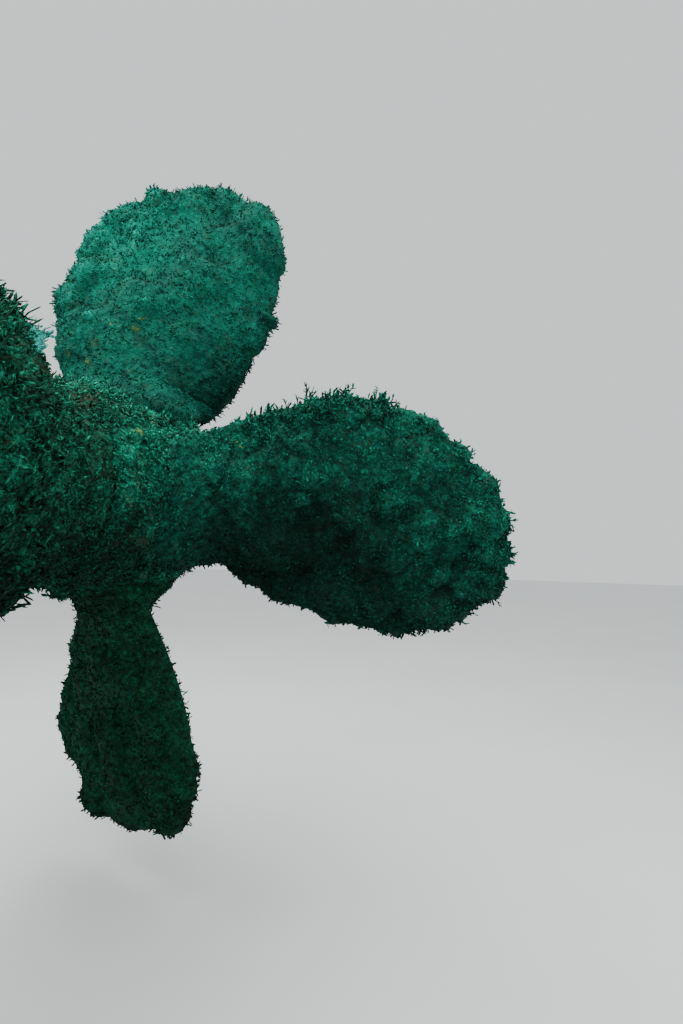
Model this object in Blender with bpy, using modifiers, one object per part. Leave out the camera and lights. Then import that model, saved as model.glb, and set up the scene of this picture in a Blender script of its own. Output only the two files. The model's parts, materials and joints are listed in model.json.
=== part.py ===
"""Overgrown ship propeller: a built-up, right-handed screw on its tail shaft, with the end of the bossing.

Metres, +Z up. The shaft lies along Y: the ship is towards -Y and the water behind it towards +Y. The origin
is the centre of the frame plate that closes the bossing on the ship's side.
"""

from functools import partial
from math import atan2, cos, pi, radians, sin, sqrt, tan, tanh
from typing import NamedTuple

import bmesh
import bpy
from mathutils import Matrix, Vector

# Propeller, as its drawing would give it
DIAMETER = 4.00
PITCH = 3.15
RAKE = radians(14.7)
BLADE_COUNT = 4
REST_TURN = radians(5.5)

# Blade outline and thickness
ROOT_WIDTH = 0.54
WIDEST = 1.24
WIDEST_RADIUS = 1.48
ROOT_SINK = 0.03
ROOT_THICKNESS = 0.19
TIP_THICKNESS = 0.030
EDGE_THICKNESS = 0.018
TIP_ANGLE = radians(86.4)

# Hub, with the round seats that the blades' palms are bolted into
SEAT_HEIGHT = 0.36
HUB_RISE = 0.09
HUB_END_DROP = 0.08
HUB_FORWARD = 0.45
HUB_AFT = 0.46
HUB_SHOULDER = 0.16
KNEE_HEIGHT = 0.7
KNEE_PLACE = 0.4
PALM_RADIUS = 0.31
PALM_THICKNESS = 0.11
SEAT_RIM_WIDTH = 0.030
SEAT_RIM_HEIGHT = 0.040

# Tail shaft and what is on it
SHAFT_RADIUS = 0.180
TAPER_END_RADIUS = 0.140
THREAD_RADIUS = 0.125
THREAD_LENGTH = 0.24
LINER_THICKNESS = 0.025
GLAND_WIDTH = 0.085
GLAND_THICKNESS = 0.035
NUT_ACROSS_FLATS = 0.40
NUT_HEIGHT = 0.18
NUT_SIDES = 6
CONE_STEP_IN = 0.025
CONE_LENGTH = 0.62
CONE_WALL = 0.030

# Bossing: plating, casting, stern tube and rope guard
HUB_CENTRE = 1.75
BOSSING_LENGTH = 0.73
BOSSING_AFT_RADIUS = 0.635
BOSSING_TAPER = 0.15
PLATING = 0.025
FRAME_THICKNESS = 0.030
BOSS_FLANGE = 0.12
BOSS_WALL = 0.13
BUSH_THICKNESS = 0.040
TUBE_WALL = 0.050
TUBE_PROUD = 0.11
TUBE_NUT_WIDTH = 0.075
TUBE_NUT_THICKNESS = 0.085
TUBE_NUT_NOTCHES = 6
NOTCH_WIDTH = 0.060
NOTCH_DEPTH = 0.022
GUARD_RADIUS = 0.400
GUARD_PLATE = 0.012
GUARD_GAP = 0.025

# Marine growth, measured from the metal, and the lumps that it forms on the blades and the bossing
GROWTH = 0.055
GUARD_GROWTH = 0.040
GROWTH_SETBACK = 0.015
EDGE_ROUND = 0.5
LUMP_HEIGHT = 0.035
LUMP_SPACING = 0.32
LUMP_WAVES = 5
LUMP_RUN = 0.25
LUMP_CLEARANCE = 0.12

# Clearances
SEAT = 0.0003
PALM_CLEARANCE = 0.0006
BEARING_CLEARANCE = 0.0009
END_CLEARANCE = 0.010

# Fineness of the round pieces and of the bossing's crust
SIDES = 40
PALM_SIDES = 24
CONE_STEPS = 5
FACE_STEPS = 2
BARREL_STEPS = 6
SHARP_EDGE = radians(40)
MERGE_DISTANCE = 0.0001

RADIUS = DIAMETER / 2
REACH = RADIUS
HUB_RADIUS = SEAT_HEIGHT + HUB_RISE
HUB_END_RADIUS = HUB_RADIUS - HUB_END_DROP
CONE_RADIUS = HUB_END_RADIUS - CONE_STEP_IN
LINER_RADIUS = SHAFT_RADIUS + LINER_THICKNESS
BUSH_BORE = LINER_RADIUS + BEARING_CLEARANCE
BUSH_RADIUS = BUSH_BORE + BUSH_THICKNESS
TUBE_BORE = BUSH_RADIUS + SEAT
TUBE_RADIUS = TUBE_BORE + TUBE_WALL
BOSS_BORE = TUBE_RADIUS + SEAT
BOSS_RADIUS = BOSS_BORE + BOSS_WALL
BOSSING_END = FRAME_THICKNESS + BOSSING_LENGTH
HUB_FRONT_FACE = HUB_CENTRE - HUB_FORWARD
HUB_BACK_FACE = HUB_CENTRE + HUB_AFT
PALM_CENTRE = HUB_CENTRE + SEAT_HEIGHT * tan(RAKE)
PALM_TOP = SEAT_HEIGHT + SEAT + PALM_THICKNESS
ROOT_RADIUS = PALM_TOP - ROOT_SINK
SEAT_RIM_RADIUS = PALM_RADIUS + SEAT_RIM_WIDTH
SEAT_RIM_TOP = SEAT_HEIGHT + SEAT_RIM_HEIGHT
TUBE_END = BOSSING_END + TUBE_PROUD
GUARD_END = HUB_FRONT_FACE - GUARD_GAP
GUARD_CRUST_RADIUS = GUARD_RADIUS + GUARD_GROWTH
SHAFT_START = FRAME_THICKNESS + END_CLEARANCE
LINER_END = HUB_FRONT_FACE - SEAT
NUT_START = HUB_BACK_FACE + SEAT
LUMP_START = HUB_RADIUS + GROWTH + LUMP_CLEARANCE
GOLDEN_ANGLE = pi * (3 - sqrt(5))


class Finish(NamedTuple):
    """What a piece is made of and how it looks."""

    slot: str
    colour: tuple
    roughness: float
    metallic: float


class Steps(NamedTuple):
    """How many steps a blade has across its sections, out to its widest place, and from there to the tip."""

    across: int
    inner: int
    tip: int


BRONZE = Finish("bronze", (0.36, 0.27, 0.14), 0.55, 0.8)
IRON = Finish("cast_iron", (0.16, 0.12, 0.10), 0.75, 0.5)
STEEL = Finish("steel_plate", (0.20, 0.15, 0.12), 0.70, 0.6)
SHAFT_STEEL = Finish("shaft_steel", (0.32, 0.30, 0.28), 0.45, 0.9)
BUSH_WOOD = Finish("bush_wood", (0.16, 0.10, 0.06), 0.70, 0.0)
BLADE_CRUST = Finish("blade_crust", (0.10, 0.20, 0.15), 0.95, 0.0)
HUB_CRUST = Finish("hub_crust", (0.13, 0.20, 0.12), 0.95, 0.0)
BOSSING_CRUST = Finish("bossing_crust", (0.07, 0.15, 0.11), 0.95, 0.0)
METAL_STEPS = Steps(across=6, inner=5, tip=5)
CRUST_STEPS = Steps(across=12, inner=9, tip=6)


def clear_scene():
    for old in list(bpy.data.objects):
        bpy.data.objects.remove(old, do_unlink=True)


def new_collection(name):
    collection = bpy.data.collections.new(name)
    bpy.context.scene.collection.children.link(collection)
    return collection


clear_scene()
PARTS = new_collection("ship_propeller")
CUTTERS = new_collection("cutters")
TURNED_TO_SHAFT = Matrix.Rotation(-pi / 2, 4, "X")


def finish_material(name, finish):
    """One material for each piece: colour, roughness and metallic value."""
    material = bpy.data.materials.new(f"{name}_{finish.slot}")
    material.use_nodes = True
    shader = material.node_tree.nodes["Principled BSDF"]
    shader.inputs["Base Color"].default_value = (*finish.colour, 1.0)
    shader.inputs["Roughness"].default_value = finish.roughness
    shader.inputs["Metallic"].default_value = finish.metallic
    return material


def add_object(name, mesh, finish=None):
    """A piece if it has a finish, or else a cutter, which isn't rendered."""
    obj = bpy.data.objects.new(name, mesh)
    if finish:
        mesh.materials.append(finish_material(name, finish))
        PARTS.objects.link(obj)
    else:
        obj.hide_render = True
        obj.display_type = "WIRE"
        CUTTERS.objects.link(obj)
    return obj


def add_shape(name, work, frame, finish=None):
    """The object of a shape that was modelled in the given frame."""
    mesh = bpy.data.meshes.new(name)
    work.to_mesh(mesh)
    work.free()
    obj = add_object(name, mesh, finish)
    obj.matrix_world = frame
    return obj


def boolean(obj, other, operation="DIFFERENCE"):
    modifier = obj.modifiers.new(f"{operation.lower()} {other.name}", "BOOLEAN")
    modifier.operation = operation
    modifier.solver = "EXACT"
    modifier.object = other
    return modifier


def turned(name, profile, finish=None, closed=True):
    """A body turned about the shaft. Its profile is (radius, y), down the outer side from aft to forward."""
    mesh = bpy.data.meshes.new(name)
    edges = [(i, i + 1) for i in range(len(profile) - 1)]
    if closed:
        edges.append((len(profile) - 1, 0))
    mesh.from_pydata([(radius, 0.0, y) for radius, y in profile], edges, [])
    obj = add_object(name, mesh, finish)
    obj.matrix_world = TURNED_TO_SHAFT
    screw = obj.modifiers.new("turn", "SCREW")
    screw.axis = "Z"
    screw.steps = SIDES
    screw.render_steps = SIDES
    screw.use_merge_vertices = True
    screw.merge_threshold = MERGE_DISTANCE
    screw.use_smooth_shade = True
    return obj


def ring(name, inner, outer, start, end, finish=None):
    return turned(name, [(outer, end), (outer, start), (inner, start), (inner, end)], finish)


def disc(name, radius, bottom, top, frame, finish=None, sides=PALM_SIDES):
    """A round disc about the frame's Z axis, from one height to another."""
    work = bmesh.new()
    bmesh.ops.create_cone(
        work, cap_ends=True, segments=sides, radius1=radius, radius2=radius, depth=top - bottom
    )
    bmesh.ops.translate(work, verts=work.verts, vec=(0.0, 0.0, (top + bottom) / 2))
    return add_shape(name, work, frame, finish)


def box(name, size, frame):
    """A box cutter with its centre on the frame."""
    work = bmesh.new()
    bmesh.ops.create_cube(work, size=1.0)
    bmesh.ops.scale(work, verts=work.verts, vec=size)
    return add_shape(name, work, frame)


def loft(name, rings, frame, finish=None, capped=True):
    """A body through closed rings of points: capped at both ends, or its last ring joined to its first."""
    work = bmesh.new()
    rows = [[work.verts.new(point) for point in points] for points in rings]
    nexts = rows[1:]
    if capped:
        work.faces.new(list(reversed(rows[0])))
        work.faces.new(rows[-1])
    else:
        nexts = nexts + rows[:1]
    for lower, upper in zip(rows, nexts):
        for i in range(len(lower)):
            work.faces.new((lower[i - 1], lower[i], upper[i], upper[i - 1]))
    bmesh.ops.triangulate(work, faces=work.faces)
    bmesh.ops.recalc_face_normals(work, faces=work.faces)
    obj = add_shape(name, work, frame, finish)
    obj.data.shade_smooth()
    obj.data.set_sharp_from_angle(angle=SHARP_EDGE)
    return obj


def swell(point):
    """How much thicker than its mean the crust is at a place on the part.

    Waves of one length run through the part in directions spread over a half sphere. Their sum is scaled so
    that its usual value is one, and levels off above that.
    """
    total = 0.0
    for wave in range(LUMP_WAVES):
        turn = wave * GOLDEN_ANGLE
        rise = (wave + 0.5) / LUMP_WAVES
        level = sqrt(1 - rise * rise)
        way = Vector((level * cos(turn), level * sin(turn), rise))
        total += sin(2 * pi * way.dot(point) / LUMP_SPACING + turn)
    return LUMP_HEIGHT * tanh(total / sqrt(LUMP_WAVES / 2))


def swollen(outline, grown, frame, share):
    """An outline's points, each moved to where a crust as thick as the one at its place would put it."""
    plain = outline(grown)
    if not share:
        return plain
    return [outline(grown + share * swell(frame @ point))[i] for i, point in enumerate(plain)]


def blade_direction(number):
    """The angle about the shaft, from +X towards +Z, of a blade: the first stands nearly straight up."""
    return pi / 2 - REST_TURN - number * 2 * pi / BLADE_COUNT


def blade_frame(number):
    """Local +Z out along the blade, local Y along the shaft, at the palm's centre on the shaft's axis."""
    turn = Matrix.Rotation(pi / 2 - blade_direction(number), 4, "Y")
    return Matrix.Translation((0.0, PALM_CENTRE, 0.0)) @ turn


def blade_station(out, grown):
    """(radius, half width) of a section, which is 0 at the root, 1 at the widest place and 2 at the tip.

    The half width follows a quarter sine out to the widest place, and then a quarter ellipse.
    """
    half_widest = WIDEST / 2 + grown
    if out < 1:
        half_root = ROOT_WIDTH / 2 + grown
        radius = ROOT_RADIUS + (WIDEST_RADIUS - ROOT_RADIUS) * out
        return radius, half_root + (half_widest - half_root) * sin(pi / 2 * out)
    angle = TIP_ANGLE * sin(pi / 2 * (out - 1))
    return WIDEST_RADIUS + (RADIUS + grown - WIDEST_RADIUS) * sin(angle), half_widest * cos(angle)


def blade_point(radius, along, height):
    """A point of the screw surface, in the blade's frame: along is down the chord, height towards the ship."""
    slope = atan2(PITCH, 2 * pi * radius)
    turn = (along * cos(slope) + height * sin(slope)) / radius
    y = radius * tan(RAKE) + along * sin(slope) - height * cos(slope)
    return Vector((radius * sin(turn), HUB_CENTRE + y - PALM_CENTRE, radius * cos(turn)))


def blade_section(out, across, grown):
    """The points round a section: over the arched back, round the trailing edge and over the flat face."""
    radius, half = blade_station(out, grown)
    share = min(1.0, (radius - ROOT_RADIUS) / (RADIUS - ROOT_RADIUS))
    thickness = ROOT_THICKNESS + (TIP_THICKNESS - ROOT_THICKNESS) * share
    arch = thickness - EDGE_THICKNESS
    corner = half - grown * (1 - EDGE_ROUND)
    steps = [-cos(pi * i / across) for i in range(across + 1)]
    back = [(corner * u, thickness / 2 + grown - arch * u * u) for u in steps]
    face = [(corner * u, -thickness / 2 - grown) for u in reversed(steps)]
    points = back + [(half, -arch / 2)] + face + [(-half, -arch / 2)]
    return [blade_point(radius, along, height) for along, height in points]


def lump_share(radius):
    """How much of its height a blade's lump has: none near the hub, and all of it a short way out."""
    share = min(max((radius - LUMP_START) / LUMP_RUN, 0.0), 1.0)
    return share * share * (3 - 2 * share)


def blade_body(name, number, grown, steps, finish=None, lumpy=False):
    """A twisted blade lofted through its sections, with the given crust added all round."""
    frame = blade_frame(number)
    inner = [i / steps.inner for i in range(steps.inner)]
    outer = [1 + i / steps.tip for i in range(steps.tip + 1)]
    rings = []
    for out in inner + outer:
        share = lump_share(blade_station(out, grown)[0]) if lumpy else 0.0
        rings.append(swollen(partial(blade_section, out, steps.across), grown, frame, share))
    return loft(name, rings, frame, finish)


def make_blade(number):
    """One blade cast with its palm, and the crust of growth that covers both."""
    name = f"blade_{number + 1}"
    frame = blade_frame(number)
    blade = blade_body(name, number, 0.0, METAL_STEPS, BRONZE)
    palm = disc(f"{name}_palm", PALM_RADIUS, SEAT_HEIGHT + SEAT, PALM_TOP, frame)
    boolean(blade, palm, "UNION")
    growth = blade_body(f"{name}_growth", number, GROWTH, CRUST_STEPS, BLADE_CRUST, lumpy=True)
    pad = disc(f"{name}_growth_pad", PALM_RADIUS, PALM_TOP - SEAT, PALM_TOP + GROWTH, frame)
    boolean(growth, pad, "UNION")
    boolean(growth, blade_body(f"{name}_room", number, SEAT, METAL_STEPS))
    under = disc(f"{name}_under", REACH, 0.0, PALM_TOP + SEAT, frame)
    boolean(growth, under)


def hub_outline(grown, ends):
    """The hub's outer side from aft to forward, with its shoulders as two straight runs each."""
    middle = HUB_RADIUS + grown
    end = HUB_END_RADIUS + grown
    knee = end + KNEE_HEIGHT * (middle - end)
    knee_in = HUB_SHOULDER * KNEE_PLACE
    return [
        (end, HUB_BACK_FACE + ends),
        (knee, HUB_BACK_FACE - knee_in),
        (middle, HUB_BACK_FACE - HUB_SHOULDER),
        (middle, HUB_FRONT_FACE + HUB_SHOULDER),
        (knee, HUB_FRONT_FACE + knee_in),
        (end, HUB_FRONT_FACE - ends),
    ]


def make_hub():
    """The hub: a barrel with a tapered bore and a rimmed round seat for each palm."""
    bore = [(SHAFT_RADIUS + SEAT, HUB_FRONT_FACE), (TAPER_END_RADIUS + SEAT, HUB_BACK_FACE)]
    hub = turned("hub", hub_outline(0.0, 0.0) + bore, IRON)
    for number in range(BLADE_COUNT):
        frame = blade_frame(number)
        pad = disc(f"seat_pad_{number}", SEAT_RIM_RADIUS, SEAT_HEIGHT / 2, SEAT_RIM_TOP, frame)
        boolean(hub, pad, "UNION")
    for number in range(BLADE_COUNT):
        room = PALM_RADIUS + PALM_CLEARANCE
        boolean(hub, disc(f"seat_{number}", room, SEAT_HEIGHT, REACH, blade_frame(number)))


def make_hub_growth():
    """The crust on the hub and round each seat, open where the blades and the shaft's pieces are."""
    bore = [
        (TAPER_END_RADIUS, HUB_FRONT_FACE + GROWTH_SETBACK),
        (TAPER_END_RADIUS, HUB_BACK_FACE - GROWTH_SETBACK),
    ]
    growth = turned("hub_growth", hub_outline(GROWTH, -GROWTH_SETBACK) + bore, HUB_CRUST)
    aft_end = (0.0, HUB_BACK_FACE + SEAT)
    forward_end = (0.0, HUB_FRONT_FACE - SEAT)
    metal = turned("hub_room", [aft_end, *hub_outline(SEAT, SEAT), forward_end], closed=False)
    for number in range(BLADE_COUNT):
        frame = blade_frame(number)
        for body, name, grown in ((growth, "crust_pad", GROWTH), (metal, "rim_room", SEAT)):
            radius = SEAT_RIM_RADIUS + grown
            pad = disc(f"{name}_{number}", radius, SEAT_HEIGHT / 2, SEAT_RIM_TOP + grown, frame)
            boolean(body, pad, "UNION")
    boolean(growth, metal)
    for number in range(BLADE_COUNT):
        room = PALM_RADIUS + PALM_CLEARANCE
        boolean(growth, disc(f"crust_hole_{number}", room, SEAT_HEIGHT / 2, REACH, blade_frame(number)))
        boolean(growth, blade_body(f"crust_gap_{number}", number, GROWTH + SEAT, CRUST_STEPS))
    boolean(growth, disc("behind_hub", REACH, HUB_BACK_FACE, HUB_BACK_FACE + REACH, TURNED_TO_SHAFT))


def make_shaft():
    """The tail shaft with its taper and thread, its liner, and the ring that seals the liner to the hub."""
    thread_end = HUB_BACK_FACE + THREAD_LENGTH
    turned(
        "tail_shaft",
        [
            (0.0, thread_end),
            (THREAD_RADIUS, thread_end),
            (THREAD_RADIUS, HUB_BACK_FACE),
            (TAPER_END_RADIUS, HUB_BACK_FACE),
            (SHAFT_RADIUS, HUB_FRONT_FACE),
            (SHAFT_RADIUS, SHAFT_START),
            (0.0, SHAFT_START),
        ],
        SHAFT_STEEL,
        closed=False,
    )
    ring("shaft_liner", SHAFT_RADIUS + SEAT, LINER_RADIUS, SHAFT_START, LINER_END, BRONZE)
    gland_bore = LINER_RADIUS + SEAT
    gland_start = LINER_END - GLAND_THICKNESS
    ring("gland_ring", gland_bore, gland_bore + GLAND_WIDTH, gland_start, LINER_END, BRONZE)


def make_nut():
    """The six-sided nut that draws the hub onto the shaft's taper."""
    frame = Matrix.Translation((0.0, NUT_START, 0.0)) @ TURNED_TO_SHAFT
    corner = NUT_ACROSS_FLATS / 2 / cos(pi / NUT_SIDES)
    nut = disc("propeller_nut", corner, 0.0, NUT_HEIGHT, frame, BRONZE, sides=NUT_SIDES)
    boolean(nut, disc("nut_hole", THREAD_RADIUS + SEAT, -REACH, REACH, frame, sides=SIDES))


def cone_outline(grown):
    """The fairwater's outer side from its tip to its base: a quarter of a long round curve."""
    length = CONE_LENGTH + grown
    steps = [pi / 2 * i / CONE_STEPS for i in range(CONE_STEPS + 1)]
    return [((CONE_RADIUS + grown) * sin(a), NUT_START + length * cos(a)) for a in steps]


def make_cone():
    """The hollow fairwater cone over the nut, and its crust."""
    inside = list(reversed(cone_outline(-CONE_WALL)))
    turned("fairwater_cone", cone_outline(0.0) + inside, BRONZE, closed=False)
    inside = list(reversed(cone_outline(SEAT)))
    turned("cone_growth", cone_outline(GROWTH) + inside, BLADE_CRUST, closed=False)


def bossing_radius(y):
    """The plating's outer radius, which grows towards the ship."""
    return BOSSING_AFT_RADIUS + BOSSING_TAPER * (BOSSING_END - y)


def make_bossing():
    """The frame plate, the tapered plating and the casting that holds the stern tube."""
    start = FRAME_THICKNESS + SEAT
    front = bossing_radius(start)
    disc("front_frame", front, 0.0, FRAME_THICKNESS, TURNED_TO_SHAFT, STEEL, sides=SIDES)
    turned(
        "bossing_plating",
        [
            (BOSSING_AFT_RADIUS, BOSSING_END),
            (front, start),
            (front - PLATING, start),
            (BOSSING_AFT_RADIUS - PLATING, BOSSING_END),
        ],
        STEEL,
    )
    flange_start = BOSSING_END - BOSS_FLANGE
    rim = PLATING + SEAT
    turned(
        "stern_boss",
        [
            (bossing_radius(BOSSING_END) - rim, BOSSING_END),
            (bossing_radius(flange_start) - rim, flange_start),
            (BOSS_RADIUS, flange_start),
            (BOSS_RADIUS, start),
            (BOSS_BORE, start),
            (BOSS_BORE, BOSSING_END),
        ],
        IRON,
    )


def make_stern_tube():
    """The stern tube with its ring nut, and the bearing bush inside it."""
    start = FRAME_THICKNESS + SEAT
    ring("stern_tube", TUBE_BORE, TUBE_RADIUS, start, TUBE_END, IRON)
    ring("bearing_bush", BUSH_BORE, BUSH_RADIUS, start, TUBE_END, BUSH_WOOD)
    nut_bore = TUBE_RADIUS + SEAT
    nut_radius = nut_bore + TUBE_NUT_WIDTH
    nut_start = BOSSING_END + SEAT
    nut = ring("stern_tube_nut", nut_bore, nut_radius, nut_start, nut_start + TUBE_NUT_THICKNESS, BRONZE)
    for number in range(TUBE_NUT_NOTCHES):
        angle = 2 * pi * number / TUBE_NUT_NOTCHES
        turn = Matrix.Rotation(-angle, 4, "Y")
        place = turn @ Vector((nut_radius, nut_start, 0.0))
        frame = Matrix.Translation(place) @ turn
        boolean(nut, box(f"notch_{number}", (2 * NOTCH_DEPTH, 2 * REACH, NOTCH_WIDTH), frame))


def half_ring(name, inner, outer, start, end, finish, side):
    """Half of a ring about the shaft, split level with the shaft's axis: side is 1 above it and -1 below."""
    piece = ring(name, inner, outer, start, end, finish)
    frame = Matrix.Translation((0.0, 0.0, side * (SEAT / 2 - REACH)))
    boolean(piece, box(f"{name}_other_half", (2 * REACH, 2 * REACH, 2 * REACH), frame))


def make_rope_guard():
    """The skirt that keeps ropes off the shaft: two half rings on the casting's end face."""
    start = BOSSING_END + SEAT
    inner = GUARD_RADIUS - GUARD_PLATE
    half_ring("rope_guard_upper", inner, GUARD_RADIUS, start, GUARD_END, STEEL, 1)
    half_ring("rope_guard_lower", inner, GUARD_RADIUS, start, GUARD_END, STEEL, -1)


def bossing_outline(grown):
    """The outer side of the bossing's crust, (radius, y): out over the end face, and forward to the frame."""
    edge = BOSSING_AFT_RADIUS + grown * EDGE_ROUND
    aft = BOSSING_END + grown * EDGE_ROUND
    points = []
    for step in range(FACE_STEPS + 1):
        radius = GUARD_CRUST_RADIUS + (edge - GUARD_CRUST_RADIUS) * step / FACE_STEPS
        points.append((radius, BOSSING_END + grown))
    for step in range(BARREL_STEPS + 1):
        y = aft + (FRAME_THICKNESS - aft) * step / BARREL_STEPS
        points.append((bossing_radius(y) + grown, y))
    return points


def bossing_ray(turn, grown):
    """The points of the bossing's outline at one angle about the shaft."""
    return [Vector((radius * cos(turn), y, -radius * sin(turn))) for radius, y in bossing_outline(grown)]


def make_bossing_growth():
    """The crust on the bossing and its end face: lumpy outside, and close on the metal inside."""
    inside = [
        (bossing_radius(FRAME_THICKNESS) + SEAT, FRAME_THICKNESS),
        (BOSSING_AFT_RADIUS + SEAT, BOSSING_END + SEAT),
        (GUARD_CRUST_RADIUS, BOSSING_END + SEAT),
    ]
    rings = []
    for step in range(SIDES):
        turn = 2 * pi * step / SIDES
        outer = swollen(partial(bossing_ray, turn), GROWTH, Matrix(), 1.0)
        rings.append(outer + [Vector((radius * cos(turn), y, -radius * sin(turn))) for radius, y in inside])
    loft("bossing_growth", rings, Matrix(), BOSSING_CRUST, capped=False)


def make_rope_guard_growth():
    """The crust on the rope guard, which stops short of the turning hub."""
    start = BOSSING_END + SEAT
    end = GUARD_END - GROWTH_SETBACK
    ring("rope_guard_growth", GUARD_RADIUS + SEAT, GUARD_CRUST_RADIUS - SEAT, start, end, BOSSING_CRUST)


def put_propeller_on_axis():
    """Every turning piece hangs under one empty on the shaft's axis, level with the hub's centre."""
    turning = bpy.data.objects.new("shaft_spin", None)
    PARTS.objects.link(turning)
    turning.location = (0.0, HUB_CENTRE, 0.0)
    bpy.context.view_layer.update()
    fixed = ("front_frame", "bossing", "stern", "bearing", "rope_guard", "shaft_spin")
    for obj in PARTS.objects:
        if not obj.name.startswith(fixed):
            place = obj.matrix_world.copy()
            obj.parent = turning
            obj.matrix_world = place


make_bossing()
make_stern_tube()
make_rope_guard()
make_shaft()
make_hub()
for blade_number in range(BLADE_COUNT):
    make_blade(blade_number)
make_nut()
make_cone()
make_hub_growth()
make_bossing_growth()
make_rope_guard_growth()
put_propeller_on_axis()
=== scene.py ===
"""Looks of the overgrown ship propeller: marine growth on every blade, the hub, the cone and the bossing.

The solids of the construction stay as they are. The crusts of growth among them are replaced by uneven
ones, with tufts, leaves, twigs and round colonies on them. All sizes are in metres. The shaft lies along
Y, with the ship towards -Y, and +Z is up.
"""

import json
import logging
from dataclasses import dataclass, fields, replace
from enum import Enum
from math import atan2, cos, pi, radians, sin, sqrt, tan

import bpy
import numpy as np
from mathutils import Matrix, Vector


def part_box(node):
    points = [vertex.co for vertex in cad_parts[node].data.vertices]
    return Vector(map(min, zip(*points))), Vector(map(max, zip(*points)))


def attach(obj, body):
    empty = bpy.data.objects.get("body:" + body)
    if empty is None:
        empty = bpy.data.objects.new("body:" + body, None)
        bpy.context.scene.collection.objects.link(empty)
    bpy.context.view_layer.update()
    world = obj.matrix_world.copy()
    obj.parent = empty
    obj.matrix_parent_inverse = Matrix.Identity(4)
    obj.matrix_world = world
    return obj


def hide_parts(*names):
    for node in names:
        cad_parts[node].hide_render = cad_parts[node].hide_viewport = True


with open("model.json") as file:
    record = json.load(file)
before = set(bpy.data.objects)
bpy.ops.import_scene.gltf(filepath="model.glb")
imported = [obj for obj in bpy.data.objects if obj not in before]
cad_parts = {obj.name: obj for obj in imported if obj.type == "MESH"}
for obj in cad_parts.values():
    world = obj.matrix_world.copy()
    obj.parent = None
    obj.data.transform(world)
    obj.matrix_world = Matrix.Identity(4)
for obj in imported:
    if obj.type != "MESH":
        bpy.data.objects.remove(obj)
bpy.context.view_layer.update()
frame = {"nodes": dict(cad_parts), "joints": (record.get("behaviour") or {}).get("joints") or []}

LOG = logging.getLogger("propeller")
Array = np.ndarray
Colour = tuple[float, float, float]
Socket = bpy.types.NodeSocket
Corners = tuple[tuple[float, float], ...]

# Where the solids stand that the growth keeps to
SHAFT_JOINT = next(joint for joint in frame["joints"] if joint["name"] == "shaft_spin")
HUB_CENTRE = SHAFT_JOINT["pos_m"][1]
HUB_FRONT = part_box("hub")[0].y
HUB_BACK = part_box("hub")[1].y
GUARD_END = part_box("rope_guard_upper")[1].y
BOSSING_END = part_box("bossing_plating")[1].y
BLADE_COUNT = 4
RAKE = radians(14.7)
REST_TURN = radians(5.5)
SEAT_HEIGHT = 0.36

# The gap between the turning growth and the fixed, and the least growth, which still hides the metal
RUNNING_GAP = 0.007
LEAST_LIFT = 0.018

# The wide lumps of the solids' crusts, which on a blade start at a radius and reach full height after a run
LUMP_HEIGHT = 0.035
LUMP_SPACING = 0.32
LUMP_WAVES = 5
LUMP_START = 0.625
LUMP_RUN = 0.25
GOLDEN_ANGLE = pi * (3 - sqrt(5))

# The widths of the wide and the narrow swells of a crust, and each one's share of the whole swell
WIDE_SWELL = 0.42
NARROW_SWELL = 0.17
WIDE_SHARE = 0.6
NARROW_SHARE = 0.4

# The widths of its bumps, patches and thickets, and the mean height of a dome, as a share of its greatest
BOULDER_WIDTH = 0.15
COBBLE_WIDTH = 0.055
KNOB_WIDTH = 0.024
PATCH_WIDTH = 0.30
THICKET_WIDTH = 0.09
DOME_MEAN = 0.6

# The painted shade of the crease round a colony: its width, as a share of its radius, and the least rise that
# has one
CREASE_WIDTH = 0.18
CREASED_RISE = 0.02

# The ragged edge of a colony of weed or sponge, as shares of its dome's height: its start and its depth
EDGE_START = 0.3
EDGE_DEPTH = 0.6

# How much more thickly strands stand on pale and shaggy colonies, and how much shag counts as facing up
PALE_THICKLY = 3
SHAG_THICKLY = 2
SHAG_UPWARD = 4

# From and to: the width, rise and paleness of the colonies that the camera doesn't see
UNSEEN_COLONY = ((0.08, 0.24), (0.01, 0.045), (0.0, 0.15))

# The tone of a crust: its middle value, and what stones, patches and boulders add to it; stones and boulders
# paint light on their tops and shade in the hollows between them
MIDDLE_TONE = 0.62
STONE_TONE = 0.34
PATCH_TONE = 0.26
BOULDER_TONE = 0.10

# The painted shade of a crust: the light painted on a face that looks straight down, and the slopes between
# which it grows to full light
UNDERSIDE_PAINTED_LIGHT = 0.22
PAINTED_LIGHT_SLOPES = (-0.80, 0.35)

# The height value of a crust: its middle, and what domes and knobs add to it; the finish darkens low values,
# which lays painted shade in the hollows as well as their own dark colour
MIDDLE_HEIGHT = 0.24
DOME_HEIGHT = 0.22
KNOB_HEIGHT = 0.16

# The kind of a crust is mixed from patches, stones and boulders, and a strand's from its crust's and its own
PATCH_KIND = 0.55
STONE_KIND = 0.25
BOULDER_KIND = 0.20
CRUST_KIND = 0.55
OWN_KIND = 0.45

# How deep a root sits, as a share of the strand's width, and the least part of its way that is off the crust
ROOT_DEPTH = 0.35
LEAST_RISE = 0.25

# A small vector that keeps the cross product of a strand's way and bend from vanishing
NUDGE = np.array([0.013, 0.027, 0.041])

# A strand's length between thickets, as a share of the usual, and what a thicket adds to it
SPARSE_LENGTH = 0.45
THICKET_LENGTH = 0.9

# The least and greatest share of the usual length and width, how far the tone strays, and a glint's factor
LENGTH_SHARES = (0.6, 1.35)
WIDTH_SHARES = (0.6, 1.4)
TONE_STRAY = 0.36
GLINT = 1.9

# Where the first and last branch of a twig may start, as shares of its length, and how far they slant
BRANCH_STARTS = (0.25, 0.95)
BRANCH_SLANT = 0.9

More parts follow.
